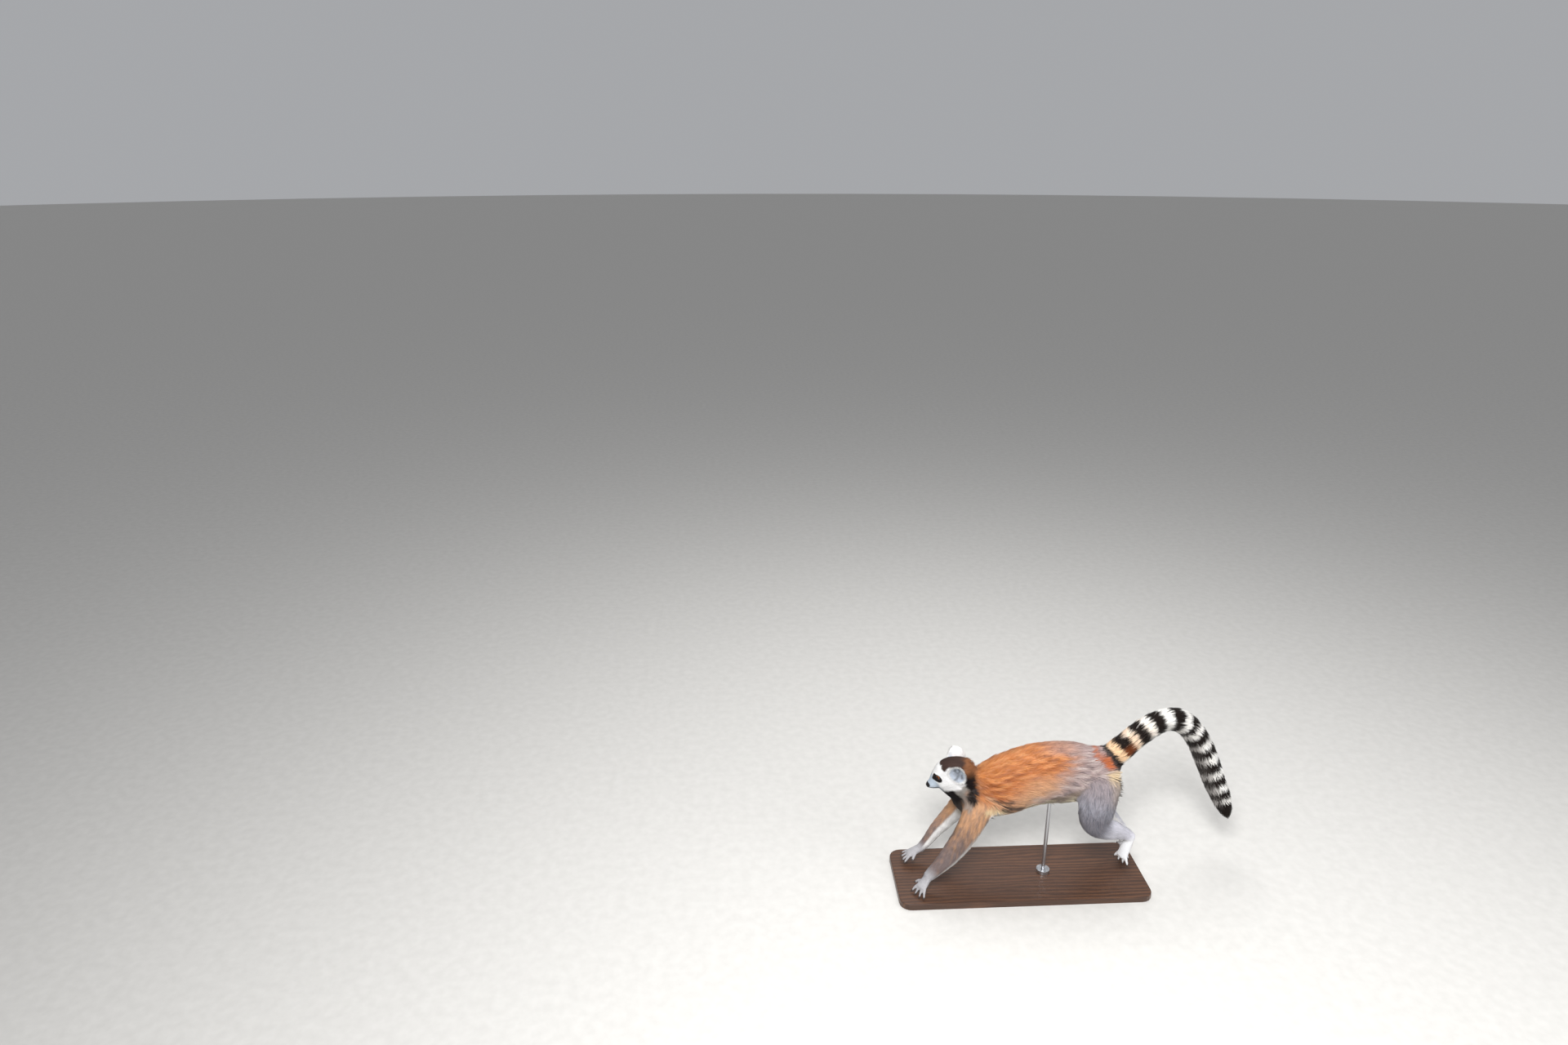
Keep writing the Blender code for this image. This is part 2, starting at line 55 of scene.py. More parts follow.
# Every place below is measured from this point on top of the base, a little before the rod.
GROUND = Vector((ROD.x - ROD_BACK, ROD.y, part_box("stand_base")[1].z))

camera = bpy.data.objects.new("camera", bpy.data.cameras.new("camera"))
camera.data.lens, camera.data.sensor_width = 24, 36
camera.location = GROUND + Vector((-0.675, -2.100, 1.683))
camera.rotation_euler = (math.radians(70.23), 0, math.radians(-3))
bpy.context.scene.collection.objects.link(camera)
bpy.context.scene.camera = camera


def new_finish(name, roughness=0.5, metallic=0.0):
    """A material, its node tree and its shader."""
    finish = bpy.data.materials.new(name)
    finish.use_nodes = True
    shader = finish.node_tree.nodes["Principled BSDF"]
    shader.inputs["Roughness"].default_value = roughness
    shader.inputs["Metallic"].default_value = metallic
    return finish, finish.node_tree, shader


def tone(red, green, blue):
    """A colour as a screen shows it, from 0 to 255, as linear light."""
    def linear(c):
        return c / 255 / 12.92 if c < 11 else ((c / 255 + 0.055) / 1.055) ** 2.4

    return linear(red), linear(green), linear(blue)


def node(tree, kind, links=None, **settings):
    """A new node. Inputs named in links take a socket or a value."""
    made = tree.nodes.new(kind)
    for key, value in settings.items():
        setattr(made, key, value)
    for key, value in (links or {}).items():
        if isinstance(value, bpy.types.NodeSocket):
            tree.links.new(value, made.inputs[key])
        else:
            made.inputs[key].default_value = value
    return made


def on_object(tree):
    """Places on the piece itself, in metres, for a pattern."""
    return node(tree, "ShaderNodeTexCoord").outputs["Object"]


def stretched(tree, vector, scale, start=(0, 0, 0)):
    """The same places, scaled on each axis and moved."""
    links = {"Vector": vector, "Location": start, "Scale": scale}
    return node(tree, "ShaderNodeMapping", links).outputs["Vector"]


def noise(tree, vector, scale, detail=3.0, rough=0.5):
    links = {"Vector": vector, "Scale": scale, "Detail": detail, "Roughness": rough}
    return node(tree, "ShaderNodeTexNoise", links).outputs["Fac"]


def ramp(tree, fac, *stops):
    """A colour ramp with stops given as (place, colour)."""
    made = node(tree, "ShaderNodeValToRGB", {"Fac": fac})
    elements = made.color_ramp.elements
    while len(elements) < len(stops):
        elements.new(0.5)
    for element, (place, colour) in zip(elements, stops):
        element.position = place
        element.color = (*colour, 1)
    return made.outputs["Color"]


def grey(value):
    return (value,) * 3


def relief(tree, shader, height, strength, distance):
    """Raises the surface by a pattern of heights, up to distance in metres."""
    bump = node(tree, "ShaderNodeBump", {"Height": height, "Strength": strength, "Distance": distance})
    tree.links.new(bump.outputs["Normal"], shader.inputs["Normal"])


def add_piece(name, shape, finish=None):
    """A new object from a bmesh, which is freed. Its faces are shaded smooth."""
    mesh = bpy.data.meshes.new(name)
    for face in shape.faces:
        face.smooth = True
    shape.to_mesh(mesh)
    shape.free()
    piece = bpy.data.objects.new(name, mesh)
    bpy.context.scene.collection.objects.link(piece)
    if finish:
        mesh.materials.append(finish)
    return piece


shape = bmesh.new()
bmesh.ops.create_circle(shape, cap_ends=True, segments=64, radius=40)
paper, tree, shader = new_finish("studio_paper", 0.9)
mottle = noise(tree, on_object(tree), 40.0)
mottle = ramp(tree, mottle, (0.3, tone(200, 198, 194)), (0.7, tone(207, 205, 201)))
tree.links.new(mottle, shader.inputs["Base Color"])
add_piece("studio_floor", shape, paper)

world = bpy.data.worlds.new("studio")
bpy.context.scene.world = world
bpy.context.scene.view_settings.view_transform = "Standard"
world.use_nodes = True
world.node_tree.nodes["Background"].inputs["Color"].default_value = (*tone(226, 228, 232), 1)
world.node_tree.nodes["Background"].inputs["Strength"].default_value = 0.50
for name, spot, size, power in (
    ("key", Vector((-0.55, -1.7, 2.2)), 0.8, 84),
    ("fill", Vector((1.7, -1.3, 1.4)), 1.6, 18),
    ("top", Vector((0.1, 0.9, 2.4)), 1.2, 26),
):
    lamp = bpy.data.objects.new(name, bpy.data.lights.new(name, "AREA"))
    lamp.data.size, lamp.data.energy = size, power
    lamp.location = GROUND + spot
    lamp.rotation_euler = (Vector((0, 0, 0.25)) - spot).to_track_quat("-Z", "Y").to_euler()
    bpy.context.scene.collection.objects.link(lamp)


# ---------------------------------------------------------------- the stand
# A flat base of dark oiled walnut, its edges rounded over, and one brushed steel rod that is let into
# it through a turned steel collar. The rod ends inside the body, under the balance point.

wood, tree, shader = new_finish("oiled_walnut", 0.42)
lengthwise = stretched(tree, on_object(tree), (1.2, 9.0, 9.0))
figure = noise(tree, lengthwise, 3.5, 4.0, 0.6)
rings = node(tree, "ShaderNodeTexWave", {"Vector": lengthwise, "Scale": 3.0, "Distortion": 7.0, "Detail": 3.0,
                                         "Detail Scale": 1.4}, bands_direction="Y").outputs["Fac"]
both = node(tree, "ShaderNodeMath", {0: figure, 1: rings}, operation="MULTIPLY").outputs[0]
pores = noise(tree, stretched(tree, on_object(tree), (18.0, 420.0, 420.0)), 1.6, 2.0, 0.7)
brown = ramp(tree, both, (0.05, tone(66, 42, 28)), (0.35, tone(82, 53, 35)), (0.7, tone(98, 65, 43)))
pit = ramp(tree, pores, (0.30, grey(0.55)), (0.46, grey(0)))
pitted = node(tree, "ShaderNodeMix", {0: pit, 6: brown, 7: (*tone(34, 20, 13), 1)}, data_type="RGBA")
tree.links.new(pitted.outputs[2], shader.inputs["Base Color"])
tree.links.new(ramp(tree, pores, (0.3, grey(0.62)), (0.6, grey(0.36))), shader.inputs["Roughness"])
relief(tree, shader, pores, 0.25, 0.0004)
shader.inputs["Coat Weight"].default_value = 0.25
shader.inputs["Coat Roughness"].default_value = 0.3

steel, tree, shader = new_finish("brushed_steel", 0.3, 1.0)
scratches = noise(tree, stretched(tree, on_object(tree), (60.0, 60.0, 2600.0)), 1.0, 3.0, 0.7)
silver = ramp(tree, scratches, (0.25, tone(176, 177, 180)), (0.75, tone(206, 207, 210)))
tree.links.new(silver, shader.inputs["Base Color"])
tree.links.new(ramp(tree, scratches, (0.25, grey(0.24)), (0.75, grey(0.44))), shader.inputs["Roughness"])
relief(tree, shader, scratches, 0.12, 0.0002)

for name, finish in (("stand_base", wood), ("stand_rod", steel), ("stand_collar", steel)):
    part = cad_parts[name]
    part.data.materials.clear()
    part.data.materials.append(finish)


# ---------------------------------------------------------------- the skin
# One hide over the whole carcass, from the nose to the tip of the tail, with the ears, hands and feet.
# It is drawn from the solids and lies inside them by the coat's depth, which is greatest on the tail.

FLESH = sorted(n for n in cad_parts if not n.startswith("stand_") and not n.endswith("_eye"))
GROUPS = ["trunk", "tail", "left_arm", "right_arm", "left_leg", "right_leg", "head", "left_ear", "right_ear"]
TRUNK, TAIL, LEFT_ARM, RIGHT_ARM, LEFT_LEG, RIGHT_LEG, HEAD, LEFT_EAR, RIGHT_EAR = range(9)


def group_of(name):
    side = 0 if name.startswith("left") else 1
    if name in ("trunk", "neck"):
        return TRUNK
    if name.startswith("tail"):
        return TAIL
    if name.endswith("ear"):
        return LEFT_EAR + side
    if name == "head" or name.endswith("eye"):
        return HEAD
    return (LEFT_ARM if name.split("_", 1)[1] in ("upper_arm", "forearm", "hand") else LEFT_LEG) + side


# Lines through the middles of the forms, with the half width of the coat there.
LINES = {
    TRUNK: [
        (-0.171, 0, 0.283, 0.036), (-0.135, 0, 0.256, 0.043), (-0.081, 0, 0.243, 0.063),
        (-0.019, 0, 0.2655, 0.068), (0.0475, 0, 0.2835, 0.068), (0.109, 0, 0.2845, 0.067),
        (0.154, 0, 0.2865, 0.060), (0.192, 0, 0.300, 0.048),
    ],
    TAIL: [
        (0.1755, 0, 0.3035, 0.0325), (0.2135, 0.004, 0.3205, 0.032), (0.248, 0.0135, 0.3445, 0.030),
        (0.2935, 0.0315, 0.370, 0.029), (0.340, 0.0495, 0.3845, 0.0285), (0.382, 0.0625, 0.3825, 0.0295),
        (0.4235, 0.073, 0.357, 0.0305), (0.457, 0.077, 0.313, 0.030), (0.4805, 0.076, 0.2675, 0.0295),
        (0.5025, 0.0685, 0.2145, 0.0285), (0.5225, 0.057, 0.1675, 0.0255), (0.5365, 0.0475, 0.1325, 0.018),
        (0.5425, 0.0445, 0.1165, 0.0105),
    ],
    LEFT_ARM: [
        (-0.093, -0.0285, 0.241, 0.034), (-0.116, -0.042, 0.1955, 0.029), (-0.1405, -0.052, 0.1495, 0.026),
        (-0.169, -0.055, 0.105, 0.022), (-0.194, -0.055, 0.072, 0.0175), (-0.2205, -0.054, 0.0425, 0.0135),
        (-0.241, -0.0693, 0.0228, 0.012), (-0.2565, -0.0805, 0.0055, 0.008),
    ],
    RIGHT_ARM: [
        (-0.099, 0.0265, 0.2295, 0.033), (-0.129, 0.040, 0.178, 0.027), (-0.1585, 0.0505, 0.1305, 0.0215),
        (-0.1845, 0.052, 0.0975, 0.0178), (-0.204, 0.053, 0.066, 0.014), (-0.2215, 0.053, 0.0425, 0.0115),
        (-0.250, 0.053, 0.0272, 0.012), (-0.2745, 0.053, 0.0125, 0.008),
    ],
    LEFT_LEG: [
        (0.1805, -0.021, 0.298, 0.038), (0.1785, -0.038, 0.258, 0.041), (0.171, -0.0495, 0.220, 0.039),
        (0.166, -0.057, 0.184, 0.031), (0.189, -0.059, 0.166, 0.0265), (0.2175, -0.056, 0.1555, 0.0215),
        (0.243, -0.052, 0.144, 0.0158), (0.2595, -0.0505, 0.1325, 0.013), (0.2475, -0.049, 0.079, 0.013),
        (0.244, -0.050, 0.053, 0.008),
    ],
    RIGHT_LEG: [
        (0.1825, 0.021, 0.294, 0.038), (0.190, 0.036, 0.2465, 0.040), (0.1975, 0.0465, 0.201, 0.036),
        (0.2035, 0.053, 0.161, 0.0295), (0.231, 0.054, 0.1315, 0.025), (0.2565, 0.052, 0.107, 0.019),
        (0.2735, 0.0495, 0.0915, 0.0148), (0.284, 0.0485, 0.0800, 0.013), (0.290, 0.046, 0.027, 0.013),
        (0.2925, 0.044, 0.003, 0.008),
    ],
}

# The head hangs a little and looks a little to the animal's right.
HEAD_PITCH, HEAD_YAW = math.radians(30), math.radians(9)
NOSE_TIP = np.array(GROUND) + (-0.2259, 0.0133, 0.2573)
# Its axes are columns: back, across and up.
HEAD_AXES = np.array(Matrix.Rotation(-HEAD_YAW, 3, "Z") @ Matrix.Rotation(-HEAD_PITCH, 3, "Y"))
# An ear's root and its tip in the head's frame. The left one, at -1, is laid further back.
EAR_LINE = {-1: ((0.071, 0.0335, -0.007), (0.1045, 0.0445, 0.0285)),
            1: ((0.0828, 0.0335, -0.0126), (0.0928, 0.0445, 0.0342))}
EAR_FACING, EAR_WIDTH = (-0.30, 0.90, 0.12), 0.0455


def in_head(local, side=1):
    """Places given in the head's own frame (back from the nose tip, out, up) as they lie in the model."""
    local = np.atleast_2d(np.asarray(local, float)) * (1, side, 1)
    return NOSE_TIP + local @ HEAD_AXES.T


def to_head(places):
    return (places - NOSE_TIP) @ HEAD_AXES


def unit(ways):
    return ways / np.maximum(np.linalg.norm(ways, axis=-1, keepdims=True), 1e-9)


def ear_axes(side):
    root, tip = in_head(EAR_LINE[side], side)
    along = unit(tip - root)
    facing = in_head(EAR_FACING, side)[0] - NOSE_TIP
    facing = unit(facing - along * (facing @ along))
    return (root + tip) / 2, along, np.cross(facing, along), facing, np.linalg.norm(tip - root) / 2


def in_ear(places, side):
    """How far towards the tip and across, as shares of the ear's half sizes, and how far before its plane."""
    middle, along, across, facing, half = ear_axes(side)
    away = places - middle
    return away @ along / half, away @ across / (EAR_WIDTH / 2), away @ facing


def smooth_line(stations, steps=12):
    """Stations and places between them on a Catmull-Rom curve: places, half widths, tangents, lengths."""
    knots = np.array(stations, float)
    knots[:, :3] += GROUND
    knots = np.vstack([2 * knots[0] - knots[1], knots, 2 * knots[-1] - knots[-2]])
    t = np.arange(steps)[:, None] / steps
    line = [(2 * b + (c - a) * t + (2 * a - 5 * b + 4 * c - d) * t**2 + (3 * b - a - 3 * c + d) * t**3) / 2
            for a, b, c, d in zip(knots, knots[1:], knots[2:], knots[3:])]
    line = np.vstack([*line, knots[-2:-1]])
    lengths = np.concatenate([[0], np.cumsum(np.linalg.norm(np.diff(line[:, :3], axis=0), axis=1))])
    return line[:, :3], line[:, 3], unit(np.gradient(line[:, :3], axis=0)), lengths


SMOOTH = {group: smooth_line(stations) for group, stations in LINES.items()}


def on_line(places, group):
    """Where places are on their group's line: length, share of it, tangent, way out, half width."""
    middles, widths, tangents, lengths = SMOOTH[group]
    near = np.concatenate([np.argmin(((part[:, None] - middles[None]) ** 2).sum(2), axis=1)
                           for part in np.array_split(places, len(places) // 20000 + 1)])
    tangent, away = tangents[near], places - middles[near]
    slip = (away * tangent).sum(1)
    length = np.clip(lengths[near] + slip, 0, lengths[-1])
    out = unit(away - tangent * slip[:, None])
    return length, length / lengths[-1], tangent, out, widths[near]


def merged(name, grow):
    """A copy of a solid, its loose triangles merged, its surface that much further out."""
    shape = bmesh.new()
    shape.from_mesh(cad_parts[name].data)
    bmesh.ops.remove_doubles(shape, verts=shape.verts, dist=1e-5)
    shape.normal_update()
    for corner in shape.verts:
        corner.co += corner.normal * grow
    return shape


OVERLAP = 0.0004  # so that solids a hair apart run into each other
LID = 0.0007  # the hide runs over the eyeballs, as thick as a lid
together = bmesh.new()
spare = bpy.data.meshes.new("spare")
plug = bmesh.new()  # fills the socket of the rod
bmesh.ops.create_cone(plug, cap_ends=True, segments=16, radius1=0.0065, radius2=0.0065, depth=0.058,
                      matrix=Matrix.Translation((ROD.x, ROD.y, rod_high.z - 0.028)))
for shape in [*(merged(n, OVERLAP) for n in FLESH), merged("left_eye", LID), merged("right_eye", LID), plug]:
    shape.to_mesh(spare)
    shape.free()
    together.from_mesh(spare)
carcass = add_piece("carcass", together)
remesh = carcass.modifiers.new("one hide", "REMESH")
remesh.mode, remesh.voxel_size = "VOXEL", 0.0019
hide = bpy.data.meshes.new_from_object(carcass.evaluated_get(bpy.context.evaluated_depsgraph_get()))
bpy.data.objects.remove(carcass)

# Every solid's faces, to tell which of them a place on the hide belongs to.
NAMES = [*FLESH, "left_eye", "right_eye"]
PAWS = [i for i, name in enumerate(NAMES) if name.endswith(("_hand", "_foot"))]
LOWER = [i for i, name in enumerate(NAMES) if name.endswith(("_forearm", "_shank"))]
corners, faces, owners = [], [], []
for number, name in enumerate(NAMES):
    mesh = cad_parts[name].data
    start = len(corners)
    corners += [corner.co.copy() for corner in mesh.vertices]
    faces += [[start + i for i in face.vertices] for face in mesh.polygons]
    owners += [number] * len(mesh.polygons)
solids = BVHTree.FromPolygons(corners, faces)


def owner_of(places):
    """The number in NAMES of the solid nearest to each place."""
    return np.array([owners[solids.find_nearest(place)[2]] for place in places.tolist()])


def group_at(places, owner):
    """The group of each place. What the trunk's solid holds of the tail's root counts as tail."""
    group = np.array([group_of(name) for name in NAMES])[owner]
    middles, _, tangents, _ = SMOOTH[TAIL]
    past = (places - middles[0]) @ tangents[0] > 0.004
    near = np.linalg.norm(np.cross(places - middles[0], tangents[2]), axis=1) < 0.037
    return np.where((group == TRUNK) & past & near, TAIL, group)


def read(mesh):
    """A mesh's places, normals and edges."""
    co, normal = np.empty(len(mesh.vertices) * 3), np.empty(len(mesh.vertices) * 3)
    edges = np.empty(len(mesh.edges) * 2, int)
    mesh.vertices.foreach_get("co", co)
    mesh.vertex_normals.foreach_get("vector", normal)
    mesh.edges.foreach_get("vertices", edges)
    return co.reshape(-1, 3), normal.reshape(-1, 3), edges.reshape(-1, 2)


def write(mesh, places):
    mesh.vertices.foreach_set("co", places.astype(np.float32).ravel())
    mesh.update()


def net_of(edges, count):
    """The neighbours of every place along the edges, in a form that relax can add up."""
    ends = np.concatenate([edges, edges[:, ::-1]])
    ends = ends[np.argsort(ends[:, 0], kind="stable")]
    starts = np.searchsorted(ends[:, 0], np.arange(count))
    return ends[:, 1], starts, np.bincount(ends[:, 0], minlength=count)[:, None]


def relax(values, net, rounds, amount=0.5):
    """Each value moves towards the mean of its neighbours on the hide."""
    near, starts, share = net
    for _ in range(rounds):
        values = values + amount * (np.add.reduceat(values[near], starts, axis=0) / share - values)
    return values


def rise(value, low, high):
    """0 below low, 1 above high, and smooth between."""
    t = np.clip((value - low) / (high - low), 0, 1)
    return t * t * (3 - 2 * t)


def depth_of(places, group, owner):
    """How deep the coat is at each place, for a place of that group."""
    if group in LINES:
        _, share, _, _, width = on_line(places, group)
        if group == TRUNK:
            return 0.006 + 0.0035 * rise(share, 0.05, 0.3)
        if group == TAIL:
            return np.minimum(width * 0.33, 0.0098)
        lower = rise(share, 0.35, 0.7)
        return np.where(np.isin(owner, PAWS), 0.0007, width * (0.19 - 0.06 * lower))
    if group == HEAD:
        x, _, z = to_head(places).T
        back = rise(x, 0.018, 0.060)
        return 0.0007 + 0.0024 * back + 0.003 * rise(x, 0.06, 0.10) + 0.0012 * rise(-z, 0.004, 0.02) * back
    return np.full(len(places), 0.0009)


co, _, edges = read(hide)
net = net_of(edges, len(co))
for _ in range(3):  # settles the steps of the grid and keeps the fingers full
    co = relax(relax(co, net, 1), net, 1, -0.53)
owner = owner_of(co)


def shares_at(places, owner, net, rounds):
    """How much each place belongs to each group, so that one runs softly into the next."""
    shares = relax(np.eye(len(GROUPS))[group_at(places, owner)], net, rounds)
    shares[shares < 0.02] = 0
    return shares / shares.sum(1, keepdims=True)


share_of = shares_at(co, owner, net, 22)


def blended(function, width, places, shares, *more):
    """What a function of (places, group, ...) gives, blended over the groups that a place belongs to."""
    total = np.zeros((len(places), width))
    for number in range(len(GROUPS)):
        mine = shares[:, number] > 0
        if mine.any():
            value = function(places[mine], number, *(m[mine] for m in more))
            total[mine] += shares[mine, number, None] * value.reshape(-1, width)
    return total


depth = relax(blended(depth_of, 1, co, share_of, owner), net, 10)
write(hide, co)
_, normal, _ = read(hide)
normal = unit(relax(normal, net, 4))
inner = co - normal * depth
for number, side in ((LEFT_EAR, -1), (RIGHT_EAR, 1)):  # the ear's own rim lies inside its fringe
    middle, along, _, facing, half = ear_axes(side)
    away = inner - (middle - along * half * 0.6)
    flat_away = away - (away @ facing)[:, None] * facing
    inner = inner - flat_away * 0.07 * share_of[:, number, None]
settled = relax(inner, net, 6)
furry = rise(depth[:, 0], 0.0015, 0.004)[:, None]
write(hide, inner + (settled - inner) * furry)


# The fur is rooted in the hide's own faces. The body of the skin that shows is coarser than its head,
# hands and feet, as thick fur lies over it.
seat_faces = np.empty(len(hide.loops), int)
hide.loops.foreach_get("vertex_index", seat_faces)
seat_faces = seat_faces.reshape(-1, 4)

skin = bpy.data.objects.new("skin", hide.copy())
bpy.context.scene.collection.objects.link(skin)
coarse = skin.vertex_groups.new(name="coarse")
for step in range(1, 11):
    chosen = np.flatnonzero(np.round(furry[:, 0] * 10) == step)
    coarse.add(chosen.tolist(), step / 10, "REPLACE")
fewer = skin.modifiers.new("fewer faces", "DECIMATE")
fewer.ratio, fewer.vertex_group = 0.42, "coarse"
fewer.use_collapse_triangulate = True
mesh = bpy.data.meshes.new_from_object(skin.evaluated_get(bpy.context.evaluated_depsgraph_get()))
skin.modifiers.clear()
skin.vertex_groups.clear()
skin.data = mesh

# The face is worked at half that size.
shape = bmesh.new()
shape.from_mesh(skin.data)
shape.verts.ensure_lookup_table()
local = to_head(np.array([corner.co for corner in shape.verts]))
in_face = (local[:, 0] < 0.056) & (np.abs(local[:, 2]) < 0.034) & (np.abs(local[:, 1]) < 0.036)
chosen = [edge for edge in shape.edges if in_face[edge.verts[0].index] and in_face[edge.verts[1].index]]
bmesh.ops.subdivide_edges(shape, edges=chosen, cuts=1, use_grid_fill=True)
bmesh.ops.triangulate(shape, faces=[face for face in shape.faces if len(face.verts) > 3])
for face in shape.faces:
    face.smooth = True
shape.to_mesh(skin.data)
shape.free()


# ---------------------------------------------------------------- the markings
# The hide and the coat carry the same colours: a white face with black eye patches, dark crown and
# collar, a rufous back that turns grey over the rump, grey legs, brown forearms, and a tail ringed in
# black and white. The throat is darkened by painted shade. Each is laid on by its place on the body.

RUFOUS, RUFOUS_DEEP, RUFOUS_PALE = tone(190, 114, 57), tone(150, 84, 42), tone(222, 160, 104)
NAPE, LAVENDER, PALE = tone(142, 95, 64), tone(160, 140, 137), tone(200, 185, 180)
THIGH, THIGH_DARK, SHANK = tone(140, 141, 151), tone(100, 99, 107), tone(206, 205, 214)
BUFF, BELLY, CREAM, WHITE = tone(204, 160, 124), tone(214, 202, 176), tone(232, 206, 162), tone(240, 238, 236)
ARM_BUFF, ARM_BROWN, ARM_GREY = tone(206, 158, 118), tone(108, 88, 80), tone(138, 126, 127)
HAND, FOOT, SOLE, HEEL = tone(176, 174, 177), tone(236, 236, 238), tone(52, 46, 46), tone(206, 150, 124)
CROWN, THROAT, PATCH, NOSE = tone(68, 52, 47), tone(22, 14, 10), tone(32, 26, 25), tone(30, 26, 27)
MUZZLE, FACE, STREAK, GROIN_SHADE = tone(183, 194, 206), tone(244, 243, 242), tone(142, 136, 130), tone(110, 96, 70)
EAR_DARK, EAR_PALE, EAR_BLUE = tone(48, 44, 48), tone(206, 200, 200), tone(192, 200, 212)
TAIL_RED, TAIL_CREAM = tone(178, 92, 42), tone(230, 186, 136)
TAIL_BLACK, TAIL_WHITE = tone(30, 23, 20), tone(242, 239, 234)
# Painted shade for the rings on the tail's inner side, which turn grey and dull there.
PAINTED_SHADE_WHITE, PAINTED_SHADE_BLACK = (0.17, 0.15, 0.14), (0.09, 0.08, 0.075)  # the rings on the tail's inner side


def ripple(places, size, seed):
    """A smooth uneven value, mostly from -1 to 1. Its patches are about size across."""
    draw = np.random.default_rng(seed)
    ways = unit(draw.normal(size=(8, 3))) * draw.uniform(0.7, 1.5, (8, 1)) * math.pi / size
    return np.sin(places @ ways.T + draw.uniform(0, 2 * math.pi, 8)).sum(1) / 2.4


def mix(colour, other, amount):
    """Moves one colour, or each place's own, towards another by that place's amount."""
    amount = np.clip(amount, 0, 1)[:, None]
    return np.array(colour) * (1 - amount) + np.array(other) * amount


def from_ground(places):
    return (places - np.array(GROUND)).T


def from_points(x, z, *points):
    """The shortest way from (x, z) to a line of points."""
    best = np.full(len(x), 9.0)
    for (ax, az), (bx, bz) in zip(points, points[1:]):
        t = np.clip(((x - ax) * (bx - ax) + (z - az) * (bz - az)) / ((bx - ax) ** 2 + (bz - az) ** 2), 0, 1)
        best = np.minimum(best, np.hypot(x - ax - t * (bx - ax), z - az - t * (bz - az)))
    return best


def collar_on(colour, places):
    """The throat darkened by painted shade under the head, and the dark band behind each cheek with a grey
    streak before it.
    """
    x, y, z = from_ground(places)
    side = rise(np.abs(y), 0.010, 0.022)
    uneven = 0.0016 * ripple(places, 0.010, 5)
    pale = from_points(x, z, (-0.156, 0.256), (-0.146, 0.246), (-0.138, 0.238), (-0.134, 0.226)) + uneven
    colour = mix(colour, STREAK, rise(-pale, -0.013, -0.007) * rise(np.abs(y), 0.016, 0.026) * 0.8)
    band = from_points(x, z, (-0.137, 0.312), (-0.134, 0.300), (-0.132, 0.284), (-0.127, 0.270),
                       (-0.1245, 0.257), (-0.1270, 0.244))
    band = rise(-(band + uneven), -0.0150, -0.0090) * side
    colour = mix(colour, mix(THROAT, NAPE, rise(z, 0.284, 0.310) * 0.85), band)
    # Painted shade: the throat under the head is darkened.
    front = from_points(x, z, (-0.176, 0.243), (-0.160, 0.228), (-0.146, 0.212))
    low = rise(-(front + uneven), -0.021, -0.014) * rise(-np.abs(y), -0.044, -0.032)
    return mix(colour, THROAT, low)


def armpit_on(colour, places):
    """Behind the elbow, cream tufts with dark patches between them."""
    x, y, z = from_ground(places)
    uneven = 0.003 * ripple(places * (0.4, 1, 1), 0.006, 6)
    side = rise(np.abs(y), 0.022, 0.034)
    for stations, reach, tint, amount in (
        ([(-0.092, 0.250), (-0.074, 0.241), (-0.058, 0.232)], 0.0090, BUFF, 0.7),
        ([(-0.088, 0.218), (-0.068, 0.213), (-0.050, 0.210)], 0.0130, CREAM, 0.9),
        ([(-0.076, 0.229), (-0.062, 0.226)], 0.0100, BUFF, 0.8),
        ([(-0.075, 0.2455), (-0.055, 0.243), (-0.038, 0.244)], 0.0042, THROAT, 0.75),
        ([(-0.050, 0.232), (-0.032, 0.222), (-0.012, 0.212)], 0.0085, THROAT, 0.85),
        ([(-0.054, 0.218), (-0.034, 0.208)], 0.0090, THROAT, 0.75),
        ([(-0.090, 0.186), (-0.074, 0.189)], 0.0080, THROAT, 0.6),
    ):
        near = rise(-(from_points(x, z, *stations) + uneven), -reach, -0.4 * reach)
        colour = mix(colour, tint, near * side * amount)
    return colour


